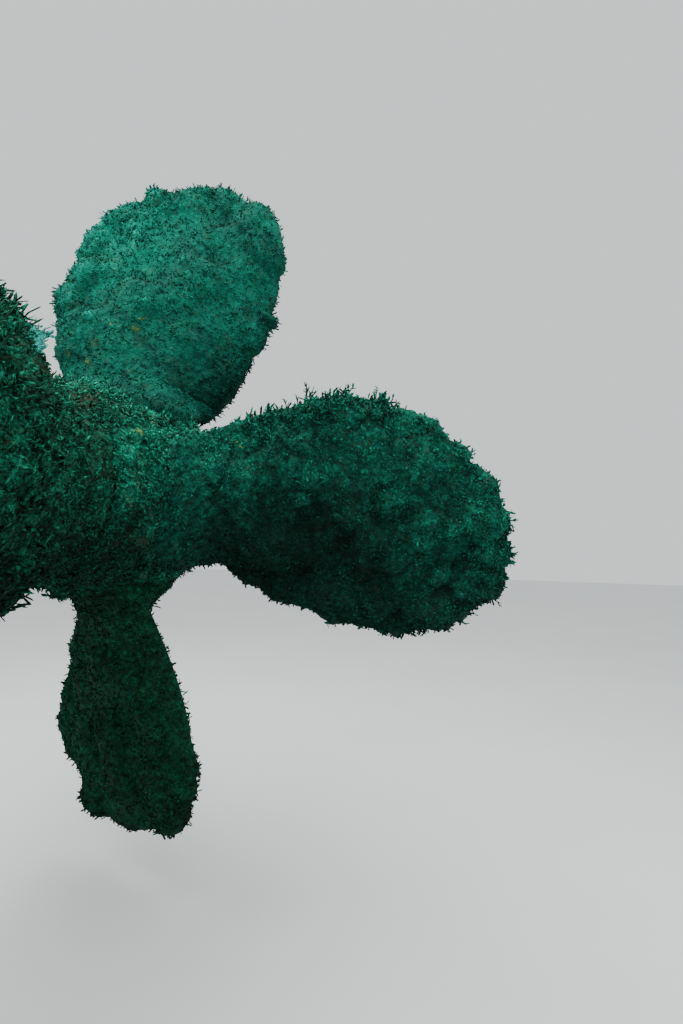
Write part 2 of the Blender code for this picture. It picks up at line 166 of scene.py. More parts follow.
# A branch's length at the twig's root, how much less it is at the tip, and its width, as shares of the twig's
BRANCH_LENGTH = 0.55
BRANCH_TAPER = 0.35
BRANCH_WIDTH = 0.7


class Body(Enum):
    """The two bodies of the frame, which the pieces ride on."""

    STERN = "stern"
    PROPELLER = "propeller"


class Strand(Enum):
    """The forms of a strand: the rings, each a share of its length and of its width, and how flat it is."""

    BUD = (((0.72, 1.0),), 0.75)
    CURL = (((0.30, 0.85), (0.82, 1.0)), 0.45)
    FROND = (((0.10, 0.60), (0.55, 1.0), (0.93, 0.90)), 0.65)
    TWIG = (((0.10, 1.0), (0.55, 0.85), (0.90, 0.60)), 1.0)


def hashed(cells: Array, seed: int) -> Array:
    """A number from 0 to 1 for each cell of a cubic lattice.

    Each cell's three whole numbers and the seed are multiplied by large odd numbers and added, and the bits
    of the sum are folded onto themselves twice.

    Args:
        cells: whole numbers, shaped (..., 3).
        seed: picks another set of numbers.

    Returns:
        An array shaped (...).
    """
    c = cells.astype(np.int64).astype(np.uint32)
    mixed = c[..., 0] * np.uint32(374761393) + c[..., 1] * np.uint32(668265263)
    mixed = mixed + c[..., 2] * np.uint32(2246822519) + np.uint32(seed * 3266489917 % 2**32)
    mixed = (mixed ^ (mixed >> np.uint32(13))) * np.uint32(1274126177)
    mixed = (mixed ^ (mixed >> np.uint32(16))) * np.uint32(2654435769)
    return (mixed ^ (mixed >> np.uint32(15))) / np.float64(2**32)


def cloud(points: Array, size: float, seed: int) -> Array:
    """Smooth noise from -1 to 1: the eight corners of each cell blended by an S-curve along each axis.

    Args:
        points: shaped (..., 3).
        size: the side of a cell.
        seed: picks another noise.

    Returns:
        An array shaped (...).
    """
    scaled = points / size
    low = np.floor(scaled)
    share = scaled - low
    share = share * share * (3 - 2 * share)
    total = np.zeros(points.shape[:-1])
    for corner in np.ndindex(2, 2, 2):
        step = np.array(corner)
        weight = np.prod(np.where(step == 1, share, 1 - share), axis=-1)
        total += weight * hashed(low + step, seed)
    return 2 * total - 1


def cobbles(points: Array, size: float, seed: int) -> tuple[Array, Array]:
    """Round bumps packed side by side: the distance to the nearest of one random point in each cell.

    The bump's height is the square root of one less the distance squared, so it is a dome.

    Args:
        points: shaped (..., 3).
        size: the side of a cell, about a bump's width.
        seed: picks another packing.

    Returns:
        The dome's height from 0 to 1, and a number from 0 to 1 that is the same all over a bump.
    """
    scaled = points / size
    low = np.floor(scaled)
    nearest = np.full(points.shape[:-1], np.inf)
    name = np.zeros(points.shape[:-1])
    for offset in np.ndindex(3, 3, 3):
        cell = low + np.array(offset) - 1
        centre = cell + np.stack([hashed(cell, seed + k) for k in range(3)], axis=-1)
        distance = np.sum((scaled - centre) ** 2, axis=-1)
        closer = distance < nearest
        nearest = np.where(closer, distance, nearest)
        name = np.where(closer, hashed(cell, seed + 7), name)
    return np.sqrt(np.clip(1 - nearest, 0, 1)), name


def lumps(points: Array) -> Array:
    """The lumps of the solids' crusts: waves of one length in directions spread over a half sphere.

    Their sum is scaled so that its usual value is one, and levels off above that.

    Args:
        points: shaped (..., 3), in metres.

    Returns:
        How much thicker than its mean the crust is there.
    """
    total = np.zeros(points.shape[:-1])
    for wave in range(LUMP_WAVES):
        turn = wave * GOLDEN_ANGLE
        rise = (wave + 0.5) / LUMP_WAVES
        level = sqrt(1 - rise * rise)
        way = np.array([level * cos(turn), level * sin(turn), rise])
        total += np.sin(2 * pi * (points @ way) / LUMP_SPACING + turn)
    return LUMP_HEIGHT * np.tanh(total / sqrt(LUMP_WAVES / 2))


def smooth(low: float, high: float, value: Array) -> Array:
    """An S-curve that rises from 0 at low to 1 at high."""
    share = np.clip((value - low) / (high - low), 0, 1)
    return share * share * (3 - 2 * share)


def unit(vectors: Array) -> Array:
    """The vectors at length 1."""
    return vectors / np.maximum(np.linalg.norm(vectors, axis=-1, keepdims=True), 1e-12)


@dataclass
class MeshParts:
    """The points, faces and point values that make one mesh."""

    points: Array
    quads: Array
    triangles: Array
    values: dict[str, Array]

    def count(self) -> int:
        """How many triangles the mesh has."""
        return 2 * len(self.quads) + len(self.triangles)

    def piece(self, name: str, material: bpy.types.Material) -> bpy.types.Object:
        """Makes the mesh and its object at the origin, with its faces pointing out.

        The sign of the sum of each triangle's volume with the origin tells whether the faces point in.

        Args:
            name: the piece's name.
            material: its finish.

        Returns:
            The new object.
        """
        quads, triangles = self.quads, self.triangles
        corners = np.concatenate([quads[:, [0, 1, 2]], quads[:, [0, 2, 3]], triangles])
        a, b, c = (self.points[corners[:, k]] for k in range(3))
        if np.einsum("ij,ij->", a, np.cross(b, c)) < 0:
            quads, triangles = quads[:, ::-1], triangles[:, ::-1]
        mesh = bpy.data.meshes.new(name)
        mesh.vertices.add(len(self.points))
        mesh.vertices.foreach_set("co", self.points.astype(np.float32).ravel())
        loops = np.concatenate([quads.ravel(), triangles.ravel()])
        mesh.loops.add(len(loops))
        mesh.loops.foreach_set("vertex_index", loops.astype(np.int32))
        starts = np.concatenate([np.arange(len(quads)) * 4, quads.size + np.arange(len(triangles)) * 3])
        mesh.polygons.add(len(starts))
        mesh.polygons.foreach_set("loop_start", starts.astype(np.int32))
        mesh.polygons.foreach_set("use_smooth", np.ones(len(starts), bool))
        mesh.update(calc_edges=True)
        for label, values in self.values.items():
            attribute = mesh.attributes.new(label, "FLOAT", "POINT")
            attribute.data.foreach_set("value", values.astype(np.float32).ravel())
        mesh.materials.append(material)
        obj = bpy.data.objects.new(name, mesh)
        bpy.context.scene.collection.objects.link(obj)
        return obj


def joined(parts: list[MeshParts]) -> MeshParts:
    """Several meshes as one, which stay separate shells in it.

    Args:
        parts: the meshes.

    Returns:
        Their points, faces and values, one mesh after the other.
    """
    starts = np.cumsum([0] + [len(part.points) for part in parts[:-1]])
    labels = parts[0].values
    return MeshParts(
        np.concatenate([part.points for part in parts]),
        np.concatenate([part.quads + start for part, start in zip(parts, starts)]),
        np.concatenate([part.triangles + start for part, start in zip(parts, starts)]),
        {label: np.concatenate([part.values[label].ravel() for part in parts]) for label in labels},
    )


@dataclass
class Sheet:
    """A grid of surface points, closed around, and along too where it is a ring, or else by two poles."""

    points: Array
    lift: Array
    ring: bool

    def normals(self) -> Array:
        """Outward unit normals: the cross product of the differences around and along the grid.

        Returns:
            A normal for each grid point.
        """
        around = np.roll(self.points, -1, axis=1) - np.roll(self.points, 1, axis=1)
        if self.ring:
            along = np.roll(self.points, -1, axis=0) - np.roll(self.points, 1, axis=0)
        else:
            along = np.gradient(self.points, axis=0)
        normal = unit(np.cross(around, along))
        middle = self.points.mean(axis=1, keepdims=True)
        outside = np.einsum("ijk,ijk->", normal * self.lift[..., None], self.points - middle)
        return normal if outside > 0 else -normal

    def raised(self, amount: Array) -> "Sheet":
        """The sheet with each point moved out along its normal by the amount times its lift."""
        return Sheet(self.points + self.normals() * (amount * self.lift)[..., None], self.lift, self.ring)

    def mesh(self, values: dict[str, Array]) -> MeshParts:
        """The sheet's quads, with a fan of triangles to a pole at each open end.

        Args:
            values: numbers for each grid point, by the name of their attribute.

        Returns:
            The parts of one closed mesh.
        """
        rows, columns = self.points.shape[:2]
        index = np.arange(rows * columns).reshape(rows, columns)
        below = index if self.ring else index[:-1]
        above = np.roll(index, -1, axis=0) if self.ring else index[1:]
        quads = np.stack([below, np.roll(below, -1, axis=1), np.roll(above, -1, axis=1), above], axis=-1)
        points = self.points.reshape(-1, 3)
        triangles = np.zeros((0, 3), int)
        values = {label: numbers.ravel() for label, numbers in values.items()}
        if not self.ring:
            first, last = len(points), len(points) + 1
            points = np.concatenate([points, self.points[[0, -1]].mean(axis=1)])
            low, high = index[0], index[-1]
            start = np.stack([np.roll(low, -1), low, np.full(columns, first)], axis=-1)
            end = np.stack([high, np.roll(high, -1), np.full(columns, last)], axis=-1)
            triangles = np.concatenate([start, end])
            values = {label: np.append(numbers, numbers[[0, -1]]) for label, numbers in values.items()}
        return MeshParts(points, quads.reshape(-1, 4), triangles, values)

    def roots(self, count: int, weight: Array, rng: np.random.Generator) -> tuple[Array, Array]:
        """Random points of the sheet, as many on each stretch as its area times its weight asks.

        Args:
            count: how many.
            weight: how thickly each grid point is covered, from 0.
            rng: the source of chance.

        Returns:
            The points, and the flat index of the grid point that each is beside.
        """
        side = np.roll(self.points, -1, axis=1) - self.points
        rise = np.roll(self.points, -1, axis=0) - self.points
        chance = np.linalg.norm(np.cross(side, rise), axis=-1) * weight * self.lift
        if not self.ring:
            chance[-1] = 0
        picked = rng.choice(chance.size, size=count, p=(chance / chance.sum()).ravel())
        s, t = rng.random((2, count, 1))
        corner, side, rise = (grid.reshape(-1, 3)[picked] for grid in (self.points, side, rise))
        return corner + s * side + t * rise, picked


@dataclass
class Bunch:
    """Many strands of one form: root + way * length * t + bend * length * t squared, for t from 0 to 1."""

    form: Strand
    roots: Array
    ways: Array
    bends: Array
    lengths: Array
    widths: Array
    kinds: Array
    tones: Array

    def at(self, share: Array | float) -> Array:
        """The middle of each strand at a share of its length."""
        share = np.broadcast_to(share, self.lengths.shape)
        return (
            self.roots
            + self.ways * (self.lengths * share)[:, None]
            + self.bends * (self.lengths * share**2)[:, None]
        )

    def branches(self, each: int, rng: np.random.Generator) -> "Bunch":
        """Side branches: they leave each strand at a slant, and are shorter towards its tip.

        Args:
            each: how many on each strand.
            rng: the source of chance.

        Returns:
            The branches of all the strands.
        """
        arrays = [getattr(self, field.name) for field in fields(self)[1:]]
        stems = Bunch(self.form, *(np.repeat(array, each, axis=0) for array in arrays))
        shares = rng.uniform(*BRANCH_STARTS, len(stems.lengths))
        slant = unit(stems.ways + BRANCH_SLANT * unit(rng.normal(size=stems.ways.shape)))
        lengths = stems.lengths * (BRANCH_LENGTH - BRANCH_TAPER * shares)
        widths = stems.widths * BRANCH_WIDTH
        return replace(stems, roots=stems.at(shares), ways=slant, lengths=lengths, widths=widths)

    def mesh(self) -> MeshParts:
        """A closed tube of three sides for each strand, drawn to a point at its root and its tip.

        Returns:
            The parts of one mesh, with height 0 at the roots and 1 at the tips.
        """
        sides = 3
        rings, flat = self.form.value
        across = unit(np.cross(self.ways, self.bends + NUDGE))
        through = np.cross(self.ways, across)
        angles = 2 * pi * np.arange(sides) / sides
        spread = across[:, None] * np.cos(angles)[:, None]
        spread = spread + through[:, None] * (flat * np.sin(angles))[:, None]
        layers = [self.at(0.0)[:, None]]
        for share, width in rings:
            layers.append(self.at(share)[:, None] + (self.widths * width)[:, None, None] * spread)
        layers.append(self.at(1.0)[:, None])
        points = np.concatenate(layers, axis=1)
        count, each = points.shape[:2]
        side = np.arange(sides)
        after = (side + 1) % sides
        final = 1 + sides * (len(rings) - 1)
        root_fan = np.stack([after + 1, side + 1, np.zeros(sides, int)], axis=-1)
        tip_fan = np.stack([side + final, after + final, np.full(sides, each - 1)], axis=-1)
        start = (np.arange(count) * each)[:, None, None]
        band = np.stack([side, after, after + sides, side + sides], axis=-1)
        quads = [band + 1 + sides * ring for ring in range(len(rings) - 1)]
        quads = np.concatenate(quads) if quads else np.zeros((0, 4), int)
        height = np.concatenate([[0.0]] + [np.full(sides, share) for share, _ in rings] + [[1.0]])
        values = {
            "height": np.tile(height, count),
            "kind": np.repeat(self.kinds, each),
            "tone": np.repeat(self.tones, each),
        }
        return MeshParts(
            points.reshape(-1, 3),
            (start + quads).reshape(-1, 4),
            (start + np.concatenate([root_fan, tip_fan])).reshape(-1, 3),
            values,
        )


class Graph:
    """Adds nodes to a material with few words."""

    def __init__(self, material: bpy.types.Material) -> None:
        """Empties the material's node tree and keeps it.

        Args:
            material: what the nodes are for.
        """
        material.use_nodes = True
        self.tree = material.node_tree
        self.tree.nodes.clear()

    def put(self, socket: Socket, value: object) -> None:
        """Links a socket to the value, or sets the value on it.

        Args:
            socket: the input.
            value: an output socket, a number, a vector, or a colour without its alpha.
        """
        if isinstance(value, Socket):
            self.tree.links.new(value, socket)
        elif isinstance(value, tuple) and len(value) == 3 and socket.type == "RGBA":
            socket.default_value = (*value, 1.0)
        else:
            socket.default_value = value

    def node(self, kind: str, settings: dict | None = None, **inputs: object) -> bpy.types.Node:
        """Adds one node.

        Args:
            kind: the node's type, such as ShaderNodeTexNoise.
            settings: the node's own properties.
            inputs: a value or an output socket for each named input, with _ for a space.

        Returns:
            The node.
        """
        node = self.tree.nodes.new(kind)
        for label, value in (settings or {}).items():
            setattr(node, label, value)
        for label, value in inputs.items():
            self.put(node.inputs[label.replace("_", " ")], value)
        return node

    def place(self) -> Socket:
        """Object coordinates."""
        return self.node("ShaderNodeTexCoord").outputs["Object"]

    def attribute(self, label: str) -> Socket:
        """A point attribute of the mesh."""
        return self.node("ShaderNodeAttribute", {"attribute_name": label}).outputs["Fac"]

    def ramp(self, factor: Socket, *stops: tuple[float, Colour]) -> Socket:
        """A colour ramp, read at the factor.

        Args:
            factor: where to read it, from 0 to 1.
            stops: each a place and its colour.

        Returns:
            The colour.
        """
        node = self.node("ShaderNodeValToRGB", Fac=factor)
        elements = node.color_ramp.elements
        while len(elements) < len(stops):
            elements.new(0.5)
        for element, (place, colour) in zip(elements, stops):
            element.position = place
            element.color = (*colour, 1.0)
        return node.outputs["Color"]

    def between(
        self, value: Socket, low: float, high: float, start: float = 0.0, end: float = 1.0
    ) -> Socket:
        """A number that follows the value from one range into another, and stays within it.

        Args:
            value: the number that is read.
            low: where the range that is read begins.
            high: where it ends.
            start: the result at low.
            end: the result at high.

        Returns:
            The result.
        """
        node = self.node("ShaderNodeMapRange", {"clamp": True}, Value=value)
        for socket, number in zip(list(node.inputs)[1:5], (low, high, start, end)):
            socket.default_value = number
        return node.outputs["Result"]

    def mix(self, blend: str, factor: object, first: object, second: object) -> Socket:
        """Mixes two colours.

        Args:
            blend: MIX or MULTIPLY.
            factor: how much of the second.
            first: the colour that is changed.
            second: the other colour.

        Returns:
            The mixed colour.
        """
        node = self.node("ShaderNodeMix", {"data_type": "RGBA", "blend_type": blend})
        for socket, value in ((node.inputs[0], factor), (node.inputs[6], first), (node.inputs[7], second)):
            self.put(socket, value)
        return node.outputs[2]

    def maths(self, operation: str, first: object, second: object) -> Socket:
        """One sum on two numbers.

        Args:
            operation: the sum, such as ADD.
            first: a number or a socket.
            second: another.

        Returns:
            The result, kept within 0 and 1.
        """
        node = self.node("ShaderNodeMath", {"operation": operation, "use_clamp": True})
        self.put(node.inputs[0], first)
        self.put(node.inputs[1], second)
        return node.outputs[0]

    def noise(
        self, place: Socket, scale: float, detail: float = 4.0, curl: float = 0.0
    ) -> Socket:
        """Smooth noise from 0 to 1, with so many periods to the metre, which curl draws out into wisps."""
        node = self.node("ShaderNodeTexNoise", Vector=place, Scale=scale, Detail=detail, Distortion=curl)
        return node.outputs["Fac"]

    def stirred(self, place: Socket, scale: float, reach: float) -> Socket:
        """A place pushed about by noise, so that a pattern that reads it looks grown.

        Args:
            place: the place.
            scale: the noise's periods to the metre.
            reach: how far it pushes.

        Returns:
            The new place.
        """
        push = self.node("ShaderNodeTexNoise", Vector=place, Scale=scale, Detail=2.0).outputs["Color"]
        node = self.node("ShaderNodeVectorMath", {"operation": "MULTIPLY_ADD"})
        for socket, value in zip(node.inputs, (push, (reach, reach, reach), place)):
            self.put(socket, value)
        return node.outputs["Vector"]

    def finish(self, grain: Socket, depth: float, **inputs: object) -> None:
        """Ends the graph in a Principled shader over a bump.

        Args:
            grain: the height that makes the bump.
            depth: the bump's depth in metres.
            inputs: the shader's inputs.
        """
        bump = self.node("ShaderNodeBump", Height=grain, Strength=0.8, Distance=depth)
        shader = self.node("ShaderNodeBsdfPrincipled", Normal=bump.outputs["Normal"], **inputs)
        self.node("ShaderNodeOutputMaterial", Surface=shader.outputs["BSDF"])


def grey(level: float) -> Colour:
    """A grey of this level."""
    return level, level, level


@dataclass(frozen=True)
class GrowthFinish:
    """Living crust: dark between the tufts, partly as painted shade, pale at their tips, with weed and sponge
    of other colours.

    Wisps and clumps count the periods to the metre, and depth is the bump's.
    """

    name: str
    slot: str
    deep: Colour
    body: Colour
    pale: Colour
    weed: Colour
    sponge: Colour
    weed_share: float
    sponge_share: float
    wisps: float = 38.0
    wisp_contrast: float = 0.30
    clumps: float = 30.0
    clump_contrast: float = 0.30
    speckle: float = 0.45
    depth: float = 0.030

    def material(self) -> bpy.types.Material:
        """Builds the node graph.

        The height attribute, stirred by curled noise that looks like matted wisps, runs through deep, body
        and pale, so roots and hollows are dark, partly by their own colour and partly as painted shade. Kind
        picks weed where it is low and sponge where it is high, and tone, which carries the crust's painted
        light and shade, darkens the whole strand. Stirred Voronoi cells are small clumps, each of its own
        tone, some with a touch of weed, and painted shade darkens the gaps between them.

        Returns:
            The material.
        """
        material = bpy.data.materials.new(self.name)
        graph = Graph(material)
        place = graph.place()
        height = graph.attribute("height")
        kind = graph.attribute("kind")
        stir = graph.noise(place, 9.0, 3.0)
        wisps = graph.noise(place, self.wisps, 3.0, 1.8)
        level = graph.maths("MULTIPLY", height, 0.75)
        level = graph.maths("ADD", level, graph.between(stir, 0.3, 0.7, 0.0, 0.20))
        matted = graph.between(wisps, 0.38, 0.66, -self.wisp_contrast, self.wisp_contrast)
        level = graph.maths("ADD", level, matted)
        colour = graph.ramp(level, (0.12, self.deep), (0.50, self.body), (0.95, self.pale))
        weed = graph.between(kind, self.weed_share, self.weed_share + 0.06, 0.60, 0.0)
        colour = graph.mix("MIX", weed, colour, self.weed)
        sponge = graph.between(kind, 0.99 - self.sponge_share, 1.0 - self.sponge_share)
        colour = graph.mix("MIX", graph.maths("MULTIPLY", sponge, 0.70), colour, self.sponge)
        dim = graph.ramp(graph.attribute("tone"), (0.0, grey(0.10)), (1.0, grey(1.0)))
        colour = graph.mix("MULTIPLY", 1.0, colour, dim)
        stirred = graph.stirred(place, 32.0, 0.05)
        clumps = graph.node("ShaderNodeTexVoronoi", Vector=stirred, Scale=self.clumps)
        edge = clumps.outputs["Distance"]
        own = graph.node("ShaderNodeSeparateColor", Color=clumps.outputs["Color"]).outputs
        touch = graph.between(own[1], 0.80, 0.90, 0.0, 0.30)
        colour = graph.mix("MIX", touch, colour, graph.mix("MULTIPLY", 1.0, self.weed, dim))
        light, dark = 1.0 + self.clump_contrast, 1.0 - self.clump_contrast
        colour = graph.mix("MULTIPLY", 1.0, colour, graph.between(own[0], 0.0, 1.0, dark, light))
        # Painted shade in the gaps between the clumps
        colour = graph.mix("MULTIPLY", 1.0, colour, graph.between(edge, 0.30, 0.80, light, dark))
        fine = graph.noise(place, 95.0, 4.0, 1.0)
        speckle = graph.ramp(fine, (0.34, grey(self.speckle)), (0.62, grey(1.0)))
        colour = graph.mix("MULTIPLY", 1.0, colour, speckle)
        grain = graph.maths("ADD", graph.maths("MULTIPLY", wisps, 0.5), graph.maths("MULTIPLY", fine, 0.2))
        grain = graph.maths("ADD", grain, graph.between(edge, 0.0, 0.8, 0.3, 0.0))
        graph.finish(grain, self.depth, Base_Color=colour, Roughness=0.9, Specular_IOR_Level=0.12)
        return material


@dataclass(frozen=True)
class MetalFinish:
    """Old metal or wood under water: its colour, scale or tarnish in patches, and a thin green film."""

    name: str
    bright: Colour
    scale: Colour
    film: Colour
    metallic: float
    roughness: float

    def material(self) -> bpy.types.Material:
        """Builds the node graph: wide noise mixes bright and scale, finer noise lays the film.

        Returns:
            The material.
        """
        material = bpy.data.materials.new(self.name)
        graph = Graph(material)
        place = graph.place()
        patches = graph.between(graph.noise(place, 5.0, 8.0), 0.38, 0.58)
        colour = graph.mix("MIX", patches, self.bright, self.scale)
        film = graph.between(graph.noise(place, 14.0, 6.0), 0.50, 0.72, 0.0, 0.7)
        colour = graph.mix("MIX", film, colour, self.film)
        pits = graph.node("ShaderNodeTexVoronoi", Vector=place, Scale=60.0).outputs["Distance"]
        fine = graph.noise(place, 160.0, 5.0)
        grain = graph.maths("ADD", graph.maths("MULTIPLY", pits, 0.5), graph.maths("MULTIPLY", fine, 0.5))
        roughness = graph.between(patches, 0.0, 1.0, self.roughness, self.roughness + 0.25)
        graph.finish(grain, 0.003, Base_Color=colour, Roughness=roughness, Metallic=self.metallic)
        return material


BLADE_FINISH = GrowthFinish(
    "blade_growth", "blade_crust",
    deep=(0.0012, 0.095, 0.060), body=(0.003, 0.200, 0.120), pale=(0.008, 0.310, 0.190),
    weed=(0.040, 0.100, 0.050), sponge=(0.180, 0.290, 0.060), weed_share=0.08, sponge_share=0.008,
)
# The top blade's finish, with painted light: paler, bluer colours and less contrast, as where light falls on
# it
LIT_BLADE_FINISH = replace(
    BLADE_FINISH, name="lit_blade_growth", body=(0.003, 0.205, 0.134), pale=(0.008, 0.305, 0.208),
    weed_share=0.03, wisp_contrast=0.09, clump_contrast=0.12, speckle=0.60,
)
# The bottom blade's finish, with painted shade: greener and darker colours
SHADED_BLADE_FINISH = replace(
    BLADE_FINISH, name="deep_blade_growth", body=(0.002, 0.190, 0.080), pale=(0.006, 0.300, 0.140),
)
HUB_FINISH = GrowthFinish(
    "hub_growth", "hub_crust",
    deep=(0.001, 0.065, 0.036), body=(0.004, 0.260, 0.145), pale=(0.025, 0.520, 0.300),
    weed=(0.085, 0.080, 0.050), sponge=(0.200, 0.310, 0.080), weed_share=0.14, sponge_share=0.010,
)
BOSSING_FINISH = GrowthFinish(
    "bossing_growth", "bossing_crust",
    deep=(0.001, 0.026, 0.014), body=(0.003, 0.125, 0.066), pale=(0.016, 0.360, 0.200),
    weed=(0.022, 0.030, 0.016), sponge=(0.120, 0.920, 0.800), weed_share=0.24, sponge_share=0.006,
)
PLATE = MetalFinish(
    "rusted_plate", bright=(0.10, 0.055, 0.035), scale=(0.20, 0.085, 0.035), film=(0.05, 0.09, 0.06),
    metallic=0.35, roughness=0.62,
)
CASTING = MetalFinish(
    "rusted_casting", bright=(0.06, 0.05, 0.045), scale=(0.13, 0.06, 0.03), film=(0.05, 0.08, 0.06),
    metallic=0.4, roughness=0.66,
)
BRONZE = MetalFinish(
    "tarnished_bronze", bright=(0.30, 0.20, 0.08), scale=(0.10, 0.16, 0.10), film=(0.06, 0.12, 0.09),
    metallic=0.85, roughness=0.42,
)
SHAFT_STEEL = MetalFinish(
    "shaft_steel", bright=(0.30, 0.29, 0.27), scale=(0.14, 0.09, 0.06), film=(0.07, 0.09, 0.07),
    metallic=0.9, roughness=0.35,
)
BUSH_WOOD = MetalFinish(
    "bush_hardwood", bright=(0.07, 0.04, 0.02), scale=(0.04, 0.025, 0.015), film=(0.03, 0.05, 0.03),
    metallic=0.0, roughness=0.55,
)

NODE_FINISHES = {
    PLATE: ("front_frame", "bossing_plating", "rope_guard_upper", "rope_guard_lower"),
    CASTING: ("stern_boss", "stern_tube", "hub"),
    BRONZE: ("stern_tube_nut", "shaft_liner", "gland_ring", "propeller_nut", "fairwater_cone")
    + tuple(f"blade_{number + 1}" for number in range(BLADE_COUNT)),
    SHAFT_STEEL: ("tail_shaft",),
    BUSH_WOOD: ("bearing_bush",),
}


@dataclass(frozen=True)
class View:
    """The camera's place and angles, and the picture that it sees, in pixels."""

    place: tuple[float, float, float] = (2.032, HUB_CENTRE - 2.434, -0.273)
    yaw: float = -0.278
    pitch: float = 0.066
    roll: float = 0.020
    focal: float = 537.0
    width: float = 683.0
    height: float = 1024.0

    def axes(self) -> Array:
        """The camera's directions, from its yaw and pitch, then turned about its line of sight by its roll.

        Returns:
            Right, up and backward, as rows.
        """
        flat = cos(self.pitch)
        ahead = np.array([sin(self.yaw) * flat, cos(self.yaw) * flat, sin(self.pitch)])
        level = np.array([cos(self.yaw), -sin(self.yaw), 0.0])
        above = np.cross(level, ahead)
        right = level * cos(self.roll) + above * sin(self.roll)
        up = above * cos(self.roll) - level * sin(self.roll)
        return np.stack([right, up, -ahead])

    def pixels(self, points: Array) -> Array:
        """Where points show in the picture: across and up over their depth, times the focal length.

        Args:
            points: shaped (..., 3).

        Returns:
            How far right and down each is from the picture's upper left corner, in pixels.
        """
        seen = (points - np.array(self.place)) @ self.axes().T
        depth = np.maximum(-seen[..., 2], 1e-3)
        across = self.width / 2 + self.focal * seen[..., 0] / depth
        down = self.height / 2 - self.focal * seen[..., 1] / depth
        return np.stack([across, down], axis=-1)

    def facing(self, points: Array, normals: Array) -> Array:
        """Which points of a surface face the camera."""
        return np.einsum("...k,...k->...", normals, np.array(self.place) - points) > 0


VIEW = View()


class Life(Enum):
    """What a colony is, as the kind value that its finish reads, or None where it is like the rest."""

    SAME = None
    WEED = 0.0
    SPONGE = 1.0


@dataclass(frozen=True)
class Colony:
    """A round colony, or a bare place where its rise is negative.

    Seen is the pixel of the picture where it shows. Pale lightens it, and darkens it where it is negative,
    and shag lengthens its strands. Some colonies are only painted light, and some only painted shade.
    """

    name: str
    seen: tuple[float, float]
    width: float
    rise: float = 0.040
    pale: float = 0.10
    shag: float = 0.0
    life: Life = Life.SAME

    def centre(self, clean: Sheet, grown: Sheet) -> Array:
        """Finds the colony's place: the point of the crust that faces the camera nearest to its pixel.

        Args:
            clean: the surface without growth.
            grown: the crust on it, point for point.

        Returns:
            That point on the clean surface.
        """
        away = np.linalg.norm(VIEW.pixels(grown.points) - np.array(self.seen), axis=-1)
        away = np.where(VIEW.facing(grown.points, grown.normals()), away, away + VIEW.height)
        return clean.points[np.unravel_index(np.argmin(away), away.shape)]


@dataclass(frozen=True)
class Stand:
    """How one form of strand stands on a crust.

    Spread is how far the strands lean at random, and upward how much they keep to faces that look up. Weedy
    is the share that are weed, and shaggy how much a colony's shag lengthens them.
    """

    form: Strand
    count: int
    length: float
    width: float
    spread: float = 0.45
    bend: float = 0.35
    branches: int = 0
    upward: float = 0.0
    weedy: float = 0.0
    shaggy: float = 0.6


